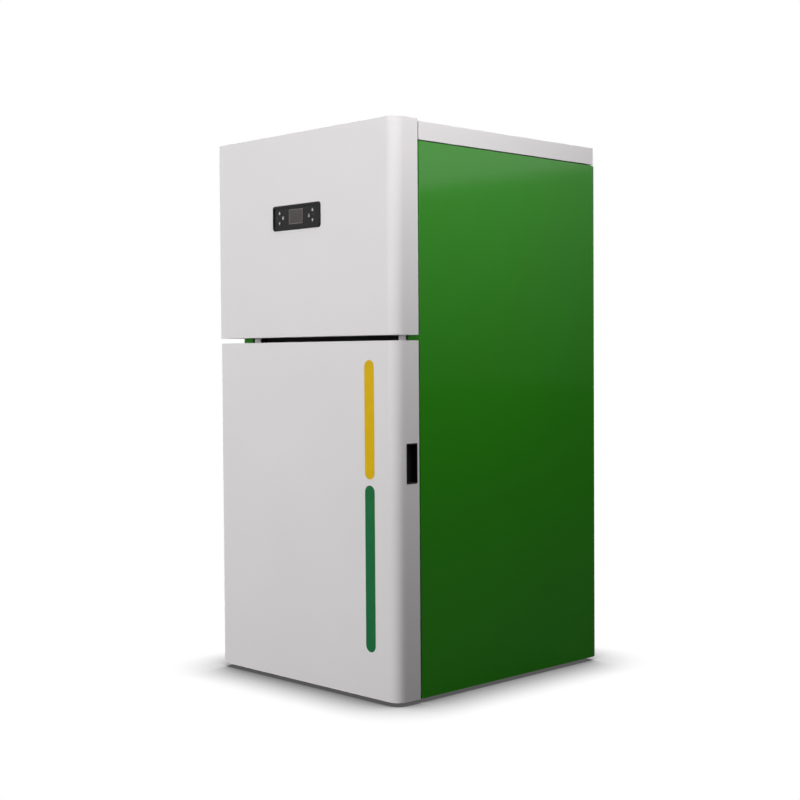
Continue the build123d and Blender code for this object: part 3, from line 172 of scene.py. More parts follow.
def makeSheet(name, metal):
    # metal whose tone and gloss change from cell to cell; a squeezed axis turns the cells into brush lines
    material, tree, shader, place = startMaterial(name, Metallic=metal["metallic"])
    turned = addNode(tree, "Mapping", {"Vector": place, "Scale": metal["stretch"]})
    cells = addNode(tree, "TexVoronoi", {
        "Vector": turned.outputs["Vector"], "Scale": perMetre(metal["spangle"]), "Randomness": 1.0})
    grey = addNode(tree, "RGBToBW", {"Color": cells.outputs["Color"]})
    haze = addNode(tree, "TexNoise", {"Vector": place, "Scale": perMetre(70), "Detail": 4.0})
    tone = addNode(tree, "Math", {0: grey.outputs["Val"], 1: haze.outputs["Fac"]}, operation="MULTIPLY")
    tint = addNode(tree, "ValToRGB", {"Fac": tone.outputs["Value"]})
    tint.color_ramp.elements[0].position = 0.0
    tint.color_ramp.elements[0].color = toLinear(metal["shade"])
    tint.color_ramp.elements[1].position = 0.6
    tint.color_ramp.elements[1].color = toLinear(metal["colour"])
    tree.links.new(tint.outputs["Color"], shader.inputs["Base Color"])
    low, high = metal["roughness"]
    gloss = addNode(tree, "MapRange", {"Value": tone.outputs["Value"], "To Min": low, "To Max": high})
    tree.links.new(gloss.outputs["Result"], shader.inputs["Roughness"])
    bump = addNode(tree, "Bump", {
        "Height": grey.outputs["Val"], "Strength": 0.3, "Distance": metal["depth"] * mm})
    tree.links.new(bump.outputs["Normal"], shader.inputs["Normal"])
    return material


castIron = dict(dark="#1D1D1E", light="#3B3A39", roughness=(0.45, 0.8), grain=1.5, swell=25, depth=0.25)


def makeCastIron():
    # grey iron from a sand mould, blacked with stove polish: grain of about 1.5 mm, duller on its tops
    material, tree, shader, place = startMaterial("sandCastIron", Metallic=0.6, Specular_IOR_Level=0.4)
    grain = addNode(tree, "TexNoise", {
        "Vector": place, "Scale": perMetre(castIron["grain"]), "Detail": 3.0, "Roughness": 0.6})
    swell = addNode(tree, "TexNoise", {
        "Vector": place, "Scale": perMetre(castIron["swell"]), "Detail": 2.0})
    tint = addNode(tree, "ValToRGB", {"Fac": swell.outputs["Fac"]})
    tint.color_ramp.elements[0].color = toLinear(castIron["dark"])
    tint.color_ramp.elements[1].color = toLinear(castIron["light"])
    tree.links.new(tint.outputs["Color"], shader.inputs["Base Color"])
    low, high = castIron["roughness"]
    gloss = addNode(tree, "MapRange", {"Value": grain.outputs["Fac"], "To Min": low, "To Max": high})
    tree.links.new(gloss.outputs["Result"], shader.inputs["Roughness"])
    bump = addNode(tree, "Bump", {
        "Height": grain.outputs["Fac"], "Strength": 0.7, "Distance": castIron["depth"] * mm})
    tree.links.new(bump.outputs["Normal"], shader.inputs["Normal"])
    return material


plastics = {
    # ABS of the panel's frame, finger cup and inlet, polished tool: nearly black with a soft gloss
    "mouldedAbsBlack": dict(colour="#0C0C0D", roughness=(0.3, 0.38), grain=0.8, depth=0.01, specular=0.38),
    # ABS of the key caps and the lever's grip, spark-eroded tool: a shade paler, with a fine matt grain
    "keyCapAbs": dict(colour="#242424", roughness=(0.34, 0.44), grain=0.8, depth=0.015),
    # polypropylene of the control box, coarse tool: mid grey and waxy
    "mouldedPpGrey": dict(colour="#5C5E60", roughness=(0.42, 0.55), grain=1.2, depth=0.03),
    # polyamide of the mains switch's rocker: deep red, lightly glossy
    "mouldedPaRed": dict(colour="#9E130F", roughness=(0.3, 0.4), grain=1.0, depth=0.02),
    # filled plastic round the door magnets: dark grey and dull
    "magnetHousing": dict(colour="#303031", roughness=(0.45, 0.6), grain=1.2, depth=0.03),
    # extruded EPDM profile: dull black that catches a little dust
    "extrudedRubber": dict(colour="#1C1C1B", roughness=(0.7, 0.85), grain=1.0, depth=0.04),
}


def makePlastic(name, resin):
    # one colour that drifts by up to 12 percent over 40 mm, and the tool's grain as roughness and bump
    material, tree, shader, place = startMaterial(
        name, IOR=1.5, Specular_IOR_Level=resin.get("specular", 0.5))
    drift = addNode(tree, "TexNoise", {"Vector": place, "Scale": perMetre(40), "Detail": 2.0})
    colour = toLinear(resin["colour"])
    tint = addNode(tree, "ValToRGB", {"Fac": drift.outputs["Fac"]})
    tint.color_ramp.elements[0].color = [0.88 * c for c in colour[:3]] + [1]
    tint.color_ramp.elements[1].color = [min(1, 1.12 * c) for c in colour[:3]] + [1]
    tree.links.new(tint.outputs["Color"], shader.inputs["Base Color"])
    grain = addNode(tree, "TexNoise", {"Vector": place, "Scale": perMetre(resin["grain"]), "Detail": 2.0})
    low, high = resin["roughness"]
    gloss = addNode(tree, "MapRange", {
        "Value": grain.outputs["Fac"], "From Min": 0.3, "From Max": 0.7, "To Min": low, "To Max": high})
    tree.links.new(gloss.outputs["Result"], shader.inputs["Roughness"])
    bump = addNode(tree, "Bump", {
        "Height": grain.outputs["Fac"], "Strength": 0.5, "Distance": resin["depth"] * mm})
    tree.links.new(bump.outputs["Normal"], shader.inputs["Normal"])
    return material


screenTones = dict(dark="#312827", light="#39302E")


def makeScreenCover():
    # clear acrylic over a liquid-crystal panel that is off: a smoky tone under a sharp clear skin
    material, tree, shader, place = startMaterial(
        "acrylicScreen", IOR=1.49, Roughness=0.3, Coat_Weight=1.0, Coat_Roughness=0.04)
    drift = addNode(tree, "TexNoise", {"Vector": place, "Scale": perMetre(25), "Detail": 1.0})
    tint = addNode(tree, "ValToRGB", {"Fac": drift.outputs["Fac"]})
    tint.color_ramp.elements[0].color = toLinear(screenTones["dark"])
    tint.color_ramp.elements[1].color = toLinear(screenTones["light"])
    tree.links.new(tint.outputs["Color"], shader.inputs["Base Color"])
    return material


boardTones = dict(mask="#0C3B1A", maskLight="#0F4520", track="#1F6B35", trackPitch=4, trackHeight=0.05)


def makeBoard():
    # green solder mask over copper tracks: the tracks are the slightly raised joints of bricks, each half
    # a trackPitch long and a quarter high
    material, tree, shader, place = startMaterial("solderMaskGreen", Roughness=0.28, IOR=1.52)
    upright = addNode(tree, "Mapping", {"Vector": place, "Rotation": (math.pi / 2, 0, 0)})
    tracks = addNode(tree, "TexBrick", {
        "Vector": upright.outputs["Vector"], "Scale": perMetre(boardTones["trackPitch"]),
        "Mortar Size": 0.06, "Color1": toLinear(boardTones["mask"]),
        "Color2": toLinear(boardTones["maskLight"]), "Mortar": toLinear(boardTones["track"])})
    tree.links.new(tracks.outputs["Color"], shader.inputs["Base Color"])
    bump = addNode(tree, "Bump", {
        "Height": tracks.outputs["Fac"], "Strength": 0.5, "Distance": boardTones["trackHeight"] * mm})
    tree.links.new(bump.outputs["Normal"], shader.inputs["Normal"])
    return material


# dark is painted shade along the foil's creases, light is the foil between them
foil = dict(dark="#8E8F8F", light="#C9CAC9", roughness=(0.3, 0.5), crinkle=18, net=12, depth=0.6)


def makeFoil():
    # aluminium foil glued to mineral wool: crinkled, over a soft net that repeats every 2 pi times its
    # size, because the wave texture turns by 20 radians in each unit of its scale
    material, tree, shader, place = startMaterial("foilFacing", Metallic=0.9)
    crinkle = addNode(tree, "TexVoronoi", {
        "Vector": place, "Scale": perMetre(foil["crinkle"])}, feature="DISTANCE_TO_EDGE")
    upright, level = (addNode(tree, "TexWave", {
        "Vector": place, "Scale": perMetre(foil["net"]) / 20, "Distortion": 0.3}, bands_direction=axis)
        for axis in ("Z", "Y"))
    weave = addNode(tree, "Math", {0: upright.outputs["Fac"], 1: level.outputs["Fac"]}, operation="MAXIMUM")
    height = addNode(tree, "Math", {
        0: crinkle.outputs["Distance"], 1: weave.outputs["Value"]}, operation="ADD")
    # painted shade: the foil is darker along the edges of its crinkle cells, in the creases where the bump
    # sinks
    tint = addNode(tree, "ValToRGB", {"Fac": crinkle.outputs["Distance"]})
    tint.color_ramp.elements[0].color = toLinear(foil["dark"])
    tint.color_ramp.elements[1].color = toLinear(foil["light"])
    tree.links.new(tint.outputs["Color"], shader.inputs["Base Color"])
    low, high = foil["roughness"]
    gloss = addNode(tree, "MapRange", {"Value": weave.outputs["Value"], "To Min": low, "To Max": high})
    tree.links.new(gloss.outputs["Result"], shader.inputs["Roughness"])
    bump = addNode(tree, "Bump", {
        "Height": height.outputs["Value"], "Strength": 0.5, "Distance": foil["depth"] * mm})
    tree.links.new(bump.outputs["Normal"], shader.inputs["Normal"])
    return material


glassYarn = dict(dark="#8E8A80", light="#D2CFC6", roughness=(0.75, 0.95), fibre=1.0, depth=0.2)


def makeGlassRope():
    # plaited glass yarn: off-white and dull, with tufts of fibre about 1 mm wide
    material, tree, shader, place = startMaterial(
        "plaitedGlassYarn", Sheen_Weight=0.4, Specular_IOR_Level=0.2)
    fibre = addNode(tree, "TexNoise", {
        "Vector": place, "Scale": perMetre(glassYarn["fibre"]), "Detail": 4.0})
    tint = addNode(tree, "ValToRGB", {"Fac": fibre.outputs["Fac"]})
    tint.color_ramp.elements[0].color = toLinear(glassYarn["dark"])
    tint.color_ramp.elements[1].color = toLinear(glassYarn["light"])
    tree.links.new(tint.outputs["Color"], shader.inputs["Base Color"])
    low, high = glassYarn["roughness"]
    gloss = addNode(tree, "MapRange", {"Value": fibre.outputs["Fac"], "To Min": low, "To Max": high})
    tree.links.new(gloss.outputs["Result"], shader.inputs["Roughness"])
    bump = addNode(tree, "Bump", {
        "Height": fibre.outputs["Fac"], "Strength": 0.6, "Distance": glassYarn["depth"] * mm})
    tree.links.new(bump.outputs["Normal"], shader.inputs["Normal"])
    return material


heatTint = dict(
    hot="#3E4868", straw="#8E6E45", cold="#9B9A98", run=(30, 200), roughness=(0.25, 0.5), haze=8,
)


def makeHeatTint():
    # heating rod: steel that runs from straw to blue towards its hot end
    material, tree, shader, place = startMaterial("heatTintedSteel", Metallic=1.0)
    axes = addNode(tree, "SeparateXYZ", {"Vector": place})
    start, end = heatTint["run"]
    along = addNode(tree, "MapRange", {
        "Value": axes.outputs["Y"], "From Min": start * mm, "From Max": end * mm})
    tint = addNode(tree, "ValToRGB", {"Fac": along.outputs["Result"]})
    tint.color_ramp.elements[0].color = toLinear(heatTint["hot"])
    tint.color_ramp.elements[1].color = toLinear(heatTint["cold"])
    middle = tint.color_ramp.elements.new(0.45)
    middle.color = toLinear(heatTint["straw"])
    tree.links.new(tint.outputs["Color"], shader.inputs["Base Color"])
    haze = addNode(tree, "TexNoise", {"Vector": place, "Scale": perMetre(heatTint["haze"]), "Detail": 3.0})
    low, high = heatTint["roughness"]
    gloss = addNode(tree, "MapRange", {"Value": haze.outputs["Fac"], "To Min": low, "To Max": high})
    tree.links.new(gloss.outputs["Result"], shader.inputs["Roughness"])
    return material


prints = {
    # screen-printed ink of the key marks: one pale grey with the faint mottle of a thin layer
    "printedGrey": dict(colour="#C6C4C1", roughness=(0.45, 0.55), grain=0.5, depth=0.004),
    # tinted lens of a lamp that is off: dark and smooth
    "smokedLens": dict(colour="#2E2E30", roughness=(0.2, 0.3), grain=0.5, depth=0.002),
    # ink behind the screen's cover, round its edge and under its column of symbols; the pale ring round the
    # edge is partly the panel's printed frame and partly a painted highlight for the glint on the cover's
    # bevel
    "screenFrameAndPaintedGlint": dict(colour="#7C7874", roughness=(0.3, 0.4), grain=0.5, depth=0.004),
    "screenStripGrey": dict(colour="#454240", roughness=(0.3, 0.4), grain=0.5, depth=0.004),
    # cut vinyl film, calendered: an even colour with a low gloss
    "vinylGreen": dict(colour="#1B6B3C", roughness=(0.3, 0.38), grain=0.8, depth=0.005),
    "vinylYellow": dict(colour="#D9B10E", roughness=(0.3, 0.38), grain=0.8, depth=0.005),
}

finishes = {name: makePaint(name, coat) for name, coat in paints.items()}
finishes.update({name: makeSheet(name, metal) for name, metal in sheets.items()})
finishes.update({name: makePlastic(name, resin) for name, resin in plastics.items()})
finishes.update({name: makePlastic(name, ink) for name, ink in prints.items()})
for made in (makeCastIron(), makeScreenCover(), makeBoard(), makeFoil(), makeGlassRope(), makeHeatTint()):
    finishes[made.name] = made

finishOfSlot = {
    "white_coat": "powderCoatWhite",
    "green_coat": "glossEnamelGreen",
    "galvanised": "galvanisedSheet",
    "black_coat": "powderCoatBlack",
    "boiler_steel": "boilerPrimer",
    "cast_iron": "sandCastIron",
    "plain_steel": "turnedSteel",
    "stainless": "brushedStainless",
    "black_plastic": "mouldedAbsBlack",
    "grey_plastic": "mouldedPpGrey",
    "key_plastic": "keyCapAbs",
    "screen_glass": "acrylicScreen",
    "board": "solderMaskGreen",
    "rubber_black": "extrudedRubber",
    "mineral_wool": "foilFacing",
    "rope_grey": "plaitedGlassYarn",
    "brass": "castBrass",
    "red_plastic": "mouldedPaRed",
    "red_coat": "stoveEnamelRed",
    "motor_coat": "motorEnamel",
    "magnet": "magnetHousing",
    "igniter_steel": "heatTintedSteel",
}
for node, slot in slotOfNode.items():
    mesh = cadNodes[node].data
    mesh.materials.clear()
    mesh.materials.append(finishes[finishOfSlot[slot]])
print("finishes made:", len(finishes))


# Shapes that the small pieces share

weldDistance = 1e-6  # metres; points nearer than this are one point


def quadsOf(rows, columns, wrapRows, wrapColumns):
    # corner numbers of the quads of a grid of points; a wrapped direction joins its end to its start
    index = np.arange(rows * columns).reshape(rows, columns)
    if wrapRows:
        index = np.vstack([index, index[:1]])
    if wrapColumns:
        index = np.hstack([index, index[:, :1]])
    corners = [index[:-1, :-1], index[1:, :-1], index[1:, 1:], index[:-1, 1:]]
    return np.stack(corners, axis=-1).reshape(-1, 4)


def buildPiece(name, grids, finish, body, crease=35):
    # one mesh from grids of points (copies, rows, columns, 3), each with its two wraps; it rides a body
    points, quads, start = [], [], 0
    for grid, wrapRows, wrapColumns in grids:
        grid = grid.reshape(-1, *grid.shape[-3:])
        copies, rows, columns = grid.shape[:3]
        shifts = start + rows * columns * np.arange(copies)
        quads.append((quadsOf(rows, columns, wrapRows, wrapColumns) + shifts[:, None, None]).reshape(-1, 4))
        points.append(grid.reshape(-1, 3))
        start += copies * rows * columns
    mesh = bpy.data.meshes.new(name)
    mesh.from_pydata(np.concatenate(points), [], np.concatenate(quads))
    shape = bmesh.new()
    shape.from_mesh(mesh)
    bmesh.ops.remove_doubles(shape, verts=shape.verts, dist=weldDistance)
    bmesh.ops.dissolve_degenerate(shape, edges=shape.edges, dist=weldDistance)
    bmesh.ops.recalc_face_normals(shape, faces=shape.faces)
    shape.to_mesh(mesh)
    shape.free()
    mesh.shade_smooth()
    mesh.set_sharp_from_angle(angle=math.radians(crease))
    mesh.materials.append(finishes[finish])
    piece = bpy.data.objects.new(name, mesh)
    scene.collection.objects.link(piece)
    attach(piece, body)
    return piece


def spun(profile, steps, reach=1.0):
    # surface of revolution: each profile point (radius, height) in mm goes once round the z axis; reach
    # stretches the radius by a factor for each step, which turns the round outline into another one
    radius, height = (np.array(profile, float) * mm).T
    angle = np.linspace(0, 2 * np.pi, steps, endpoint=False)
    return np.stack([
        np.outer(radius, np.cos(angle) * reach), np.outer(radius, np.sin(angle) * reach),
        np.repeat(height[:, None], steps, axis=1)], axis=-1)


def copiesAt(grid, places, outward):
    # a copy of a grid at each place, its own z axis turned to the outward direction
    outward = np.array(outward, float)
    helper = np.array([0.0, 1.0, 0.0] if abs(outward[2]) > 0.9 else [0.0, 0.0, 1.0])
    across = np.cross(helper, outward)
    turned = grid @ np.stack([across, np.cross(outward, across), outward])
    return np.array(places, float)[:, None, None] + turned


def seated(node, places, outward):
    # moves each place (mm) along the outward direction onto the skin of the CAD node that carries it
    outward = Vector(outward)
    hits = []
    for place in places:
        origin = Vector(place) * mm + outward
        found, spot = cadNodes[node].ray_cast(origin, -outward)[:2]
        if not found:
            raise ValueError(f"nothing of {node} under {place}")
        hits.append(spot)
    return np.array(hits)


def smoothStep(values):
    return np.clip(values, 0, 1) ** 2 * (3 - 2 * np.clip(values, 0, 1))


# Screws and bolts

panHead = dict(
    radius=4.2, height=2.2, bulge=2.4, rim=0.96, sunk=0.3, steps=48, rings=22,
    slotHalf=0.55, slotReach=2.3, slotDepth=1.3, slotRise=0.5, slotEdge=0.25,
)
hexHead = dict(
    apothem=6.5, height=5.0, bevel=0.8, crown=0.97, washer=9.0, washerHeight=1.2, sunk=0.2, steps=48,
)


def makePanHead():
    # dome: the height times the root of one less the 2.4th power of the radius, less a cross of two slots
    # that get shallower towards their ends
    size, reach = panHead["radius"], panHead["slotReach"]
    radius = size * np.sin(np.linspace(0, np.pi / 2, panHead["rings"]))[::-1]
    angle = np.linspace(0, 2 * np.pi, panHead["steps"], endpoint=False)
    x, y = np.outer(radius, np.cos(angle)), np.outer(radius, np.sin(angle))
    dome = panHead["height"] * np.sqrt(1 - (radius / size) ** panHead["bulge"] * panHead["rim"])
    edge = panHead["slotEdge"]
    arms = [
        smoothStep((panHead["slotHalf"] - abs(a)) / edge + 0.5) * smoothStep((reach - abs(b)) / edge + 0.5)
        for a, b in ((x, y), (y, x))
    ]
    cut = panHead["slotDepth"] * np.maximum(*arms) * (1 - panHead["slotRise"] * radius[:, None] / reach)
    top = np.stack([x, y, dome[:, None] - cut], axis=-1) * mm
    base = spun([(0, -panHead["sunk"]), (size, -panHead["sunk"])], panHead["steps"])
    return np.concatenate([base, top])


def makeHexHead():
    # six-sided head on a flat washer: the outline is the apothem over the cosine of the angle from the
    # middle of each side, and its top corners are turned down to a round bevel
    steps = hexHead["steps"]
    angle = np.linspace(0, 2 * np.pi, steps, endpoint=False)
    sixth = np.pi / 3
    reach = 1 / np.cos(angle % sixth - sixth / 2)
    low, high, flat = hexHead["washerHeight"], hexHead["height"], hexHead["apothem"]
    head = spun([(0, 0), (flat, 0), (flat, high - hexHead["bevel"])], steps, reach)
    crown = spun([(flat * hexHead["crown"], high), (0, high)], steps)
    wide, sunk = hexHead["washer"], -hexHead["sunk"]
    washer = spun([(0, sunk), (wide, sunk), (wide, low), (0, low)], steps)
    return np.concatenate([head, crown]), washer


screwSets = {
    # name: head, scale, finish, body, slot, carrying node, outward direction, and places in mm, where
    # a z of 0 stands for the middle of the node's height
    "rearPanelScrews": (
        "pan", 1.0, "turnedSteel", "cabinet", "plain_steel", "rear_panel", (0, 1, 0),
        [(side * 329, 0, z) for side in (-1, 1) for z in range(60, 1331, 254)]
        + [(x, 0, z) for z in (24, 1346) for x in (-110, 110)]),
    "fixedLeafScrews": (
        "pan", 0.9, "turnedSteel", "cabinet", "plain_steel", "lid_hinge_leaves", (0, 1, 0),
        [(side * 220 + x, 0, 1327) for side in (-1, 1) for x in (-18, 0, 18)]),
    "lidLeafScrews": (
        "pan", 0.9, "turnedSteel", "hopper_lid", "plain_steel", "lid_hinge_knuckles", (0, 1, 0),
        [(side * 220 + x, 0, 1388) for side in (-1, 1) for x in (-16, 16)]),
    "inletScrews": (
        "pan", 0.6, "turnedSteel", "cabinet", "plain_steel", "mains_inlet", (0, 1, 0),
        [(239.5 + x, 0, 1050 + z) for x, z in ((-15, -25), (15, -25), (-15, 51), (15, 51))]),
    "gearCasingBolts": (
        "hex", 0.6, "turnedSteel", "cabinet", "plain_steel", "auger_gearmotor", (0, 1, 0),
        [(x, 0, z) for x in (-32, 32) for z in (916, 990)]),
    "fanPlateScrews": (
        "pan", 1.0, "turnedSteel", "cabinet", "plain_steel", "fan_motor", (0, 0, 1),
        [(-150 + 45 * math.cos(turn), 262 + 45 * math.sin(turn), 0)
         for turn in np.radians([45, 135, 225, 315])]),
    "igniterBolts": (
        "hex", 0.45, "turnedSteel", "cabinet", "plain_steel", "igniter", (0, 1, 0),
        [(x, 0, 0) for x in (-13.5, 13.5)]),
    "smokeBoxBolts": (
        "hex", 0.9, "turnedSteel", "cabinet", "plain_steel", "smoke_box", (0, 0, 1),
        [(x, y, 0) for x in (-190, -65, 65, 190) for y in (46, 172)]),
    "flueFlangeNuts": (
        "hex", 0.8, "turnedSteel", "cabinet", "plain_steel", "boiler_body", (0, 0, 1),
        [(x, y, 0) for x in (-205, 205) for y in (-100, 0)]),
}


def makeScrews():
    head, washer = makeHexHead()
    shapes = {"pan": [makePanHead()], "hex": [head, washer]}
    for name, (kind, scale, finish, body, slot, node, outward, places) in screwSets.items():
        low, high = boxOf(node)
        middle = (low + high) / 2 / mm
        shifted = [(x, y, z) if z else (x, y, middle[2]) for x, y, z in places]
        spots = seated(node, shifted, outward)
        buildPiece(name, [
            (copiesAt(grid * scale, spots, outward), False, True) for grid in shapes[kind]
        ], finish, body)


makeScrews()
print("screws made:", len(screwSets), "sets")


# Keys and screen

keyMarks = dict(
    proud=0.08, sunk=0.1, arrow=3.9, foot=3.0, footHalf=(2.6, 0.5), barHalf=(3.2, 0.75), barPitch=2.5,
    dropOuter=4.4, dropInner=2.5, dot=3.2, dotPlaces=(-74.7, 68.2),
)
screenTrim = dict(
    rim=(3.0, 2.0), edgeGap=0.05, border=1.3, corners=(1.0, 0.6), proud=0.12, sunk=0.1,
    strip=5.0, stripGap=(0.6, 0.3), stripCorner=0.3, stripProud=0.04,
)


def outlinePlate(outline, low, high):
    # flat plate from a star-shaped outline (mm): its middle, its lower edge, its upper edge and its middle
    middle = outline.mean(axis=0)
    levels = [(middle, low), (outline, low), (outline, high), (middle, high)]
    rows = [
        np.column_stack([np.broadcast_to(flat, outline.shape), np.full(len(outline), z)])
        for flat, z in levels
    ]
    return np.array(rows) * mm


def ringPlate(outer, inner, low, high):
    # flat ring between two outlines (mm) with the same number of points; the rows close on themselves
    levels = [(outer, low), (outer, high), (inner, high), (inner, low)]
    return np.array([np.column_stack([flat, np.full(len(flat), z)]) for flat, z in levels]) * mm


def cornered(half, corner, count=10):
    # rounded rectangle: four quarter circles of the corner radius whose middles are the inner corners
    turn = np.linspace(0, np.pi / 2, count)
    angles = np.concatenate([turn + quarter * np.pi / 2 for quarter in range(4)])
    signs = np.repeat([(1, 1), (-1, 1), (-1, -1), (1, -1)], count, axis=0)
    middles = signs * (np.array(half) - corner)
    return middles + corner * np.column_stack([np.cos(angles), np.sin(angles)])


def arrowOutline(size, down):
    # three-sided figure: a side's distance over the cosine of the angle from the middle of that side
    angle = np.linspace(0, 2 * np.pi, 36, endpoint=False)
    third = 2 * np.pi / 3
    start = np.pi / 2 + (np.pi if down else 0)
    radius = size / 2 / np.cos((angle - start) % third - third / 2)
    return np.column_stack([radius * np.cos(angle), radius * np.sin(angle)])


def dropOutline(size):
    # drop: across, 0.85 times the sine times the 1.4th power of the half angle's sine; upwards, the cosine
    angle = np.linspace(0, 2 * np.pi, 40, endpoint=False)
    across = np.sin(angle) * np.sin(angle / 2) ** 1.4
    return size * np.column_stack([0.85 * across, np.cos(angle)])


def barOutline(halfWidth, halfHeight, z):
    return cornered((halfWidth, halfHeight), 0.3, 4) + np.array([0, z])


def makeKeyMarks():
    sunk, proud = -keyMarks["sunk"], keyMarks["proud"]
    size, foot = keyMarks["arrow"], keyMarks["foot"]
    marks = {}
    for side in ("left", "right"):
        for end, down in (("up", False), ("down", True)):
            base = -foot if down else foot
            marks[f"key_{side}_{end}"] = [
                (outlinePlate(arrowOutline(size, down), sunk, proud), False, True),
                (outlinePlate(barOutline(*keyMarks["footHalf"], -base), sunk, proud), False, True)]
    pitch = keyMarks["barPitch"]
    marks["key_left_inner"] = [
        (outlinePlate(barOutline(*keyMarks["barHalf"], z), sunk, proud), False, True)
        for z in (-pitch, 0, pitch)]
    drops = dropOutline(keyMarks["dropOuter"]), dropOutline(keyMarks["dropInner"])
    marks["key_right_inner"] = [(ringPlate(*drops, sunk, proud), True, True)]
    for key, grids in marks.items():
        low, high = boxOf(key)
        place = [((low[0] + high[0]) / 2, low[1], (low[2] + high[2]) / 2)]
        grids = [(copiesAt(grid, place, (0, -1, 0)), *wraps) for grid, *wraps in grids]
        buildPiece(key + "_mark", grids, "printedGrey", key)
    low, high = boxOf("display_bezel")
    across, height = (low[0] + high[0]) / 2, (low[2] + high[2]) / 2
    places = [(across / mm + x, 0, height / mm) for x in keyMarks["dotPlaces"]]
    spots = seated("display_bezel", places, (0, -1, 0))
    wide = keyMarks["dot"]
    dot = spun([(0, -0.2), (wide, -0.2), (wide, 0.02), (wide - 0.4, 0.1), (0, 0.12)], 40)
    buildPiece("lamp_dots", [(copiesAt(dot, spots, (0, -1, 0)), False, True)],
               "smokedLens", "cabinet")


def makeScreen():
    low, high = boxOf("display_window")
    half = np.array([high[0] - low[0], high[2] - low[2]]) / 2 / mm - np.array(screenTrim["rim"])
    place = [((low[0] + high[0]) / 2, low[1], (low[2] + high[2]) / 2)]
    border, sunk, corners = screenTrim["border"], -screenTrim["sunk"], screenTrim["corners"]
    # pale ring round the window: partly the panel's printed frame, partly a painted highlight for the glint
    # along the cover's bevel
    outlines = cornered(half - screenTrim["edgeGap"], corners[0]), cornered(half - border, corners[1])
    frameGrid = ringPlate(*outlines, sunk, screenTrim["proud"])
    buildPiece("screen_frame_and_glint", [(copiesAt(frameGrid, place, (0, -1, 0)), True, True)],
               "screenFrameAndPaintedGlint", "cabinet")
    gapX, gapZ = screenTrim["stripGap"]
    strip = cornered((screenTrim["strip"] / 2, half[1] - border - gapZ), screenTrim["stripCorner"], 4)
    strip += np.array([border + gapX + screenTrim["strip"] / 2 - half[0], 0])
    plate = outlinePlate(strip, sunk, screenTrim["stripProud"])
    buildPiece("screen_icons_column", [(copiesAt(plate, place, (0, -1, 0)), False, True)],
               "screenStripGrey", "cabinet")


makeKeyMarks()
makeScreen()
print("key marks and screen made")


# Accent stripe in the place of the words on the lower door

stripe = dict(x=246.0, halfWidth=17.0, thickness=0.25, proud=0.12, parts={
    "stripe_low": ("vinylGreen", 122.0, 528.0),
    "stripe_high": ("vinylYellow", 543.0, 832.0),
})


def makeStripe():
    front = boxOf("lower_door")[0][1]
    for name, (film, low, high) in stripe["parts"].items():
        outline = cornered((stripe["halfWidth"], (high - low) / 2), stripe["halfWidth"] - 0.5)
        plate = outlinePlate(outline, stripe["proud"] - stripe["thickness"], stripe["proud"])
        place = [(stripe["x"] * mm, front, (low + high) / 2 * mm)]
        grids = [(copiesAt(plate, place, (0, -1, 0)), False, True)]
        buildPiece(name, grids, film, "lower_door")


makeStripe()
print("stripe made")


# Rope seal of the firebox door

rope = dict(halfWidth=4.4, strands=5, pitch=16.0, relief=0.16, around=30, along=1000, corner=14.0)


def evenLoop(half, corner, count):
    # a rounded rectangle cut into equal steps, with the outward direction at each step
    loop = cornered(half, corner, 24)
    loop = np.vstack([loop, loop[:1]])
    run = np.concatenate([[0], np.cumsum(np.linalg.norm(np.diff(loop, axis=0), axis=1))])
    steps = np.linspace(0, run[-1], count, endpoint=False)
    points = np.column_stack([np.interp(steps, run, loop[:, axis]) for axis in (0, 1)])
    ahead = np.roll(points, -1, axis=0) - np.roll(points, 1, axis=0)
    out = np.column_stack([ahead[:, 1], -ahead[:, 0]])
    return points, out / np.linalg.norm(out, axis=1)[:, None], run[-1]


def makeRope():
    # oval tube round the loop; its skin rises where strands of two opposite winds lie on top: each strand
    # is a ridge that keeps the sum or the difference of its turn round the tube and its run along it
    low, high = boxOf("firebox_rope_seal")
    middle = (low + high) / 2
    thick = (high[1] - low[1]) / 2
    wide = rope["halfWidth"] * mm
    half = np.array([(high[0] - low[0]) / 2, (high[2] - low[2]) / 2]) - wide
    points, out, length = evenLoop(half / mm, rope["corner"], rope["along"])
    turns = round(length / rope["pitch"])
    along = np.linspace(0, 2 * np.pi * turns, rope["along"], endpoint=False)[:, None]
    around = np.linspace(0, 2 * np.pi, rope["around"], endpoint=False)[None]
    ridges = [abs(np.cos((rope["strands"] * around + way * along) / 2)) for way in (-1, 1)]
    skin = 1 - rope["relief"] * (1 - np.maximum(*ridges) ** 0.6)
    across = wide * skin * np.cos(around)
    grid = np.stack([
        middle[0] + points[:, :1] * mm + out[:, :1] * across,
        middle[1] + thick * skin * np.sin(around) + 0 * along,
        middle[2] + points[:, 1:] * mm + out[:, 1:] * across], axis=-1)
    piece = buildPiece(
        "rope_seal", [(grid, True, True)], "plaitedGlassYarn", "firebox_door", 60)
    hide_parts("firebox_rope_seal")


makeRope()
print("rope seal made")


# Insulation mats on the block's sides

mats = dict(
    edgePower=14, edgeFade=(8, 20), dimple=7.0, dimpleReach=34.0, swell=1.2, swellWaves=(9, 17),
    washer=15.0, washerDepth=0.8, rows=5, columns=(0.25, 0.75), fill=0.8, across=70, along=130,
)


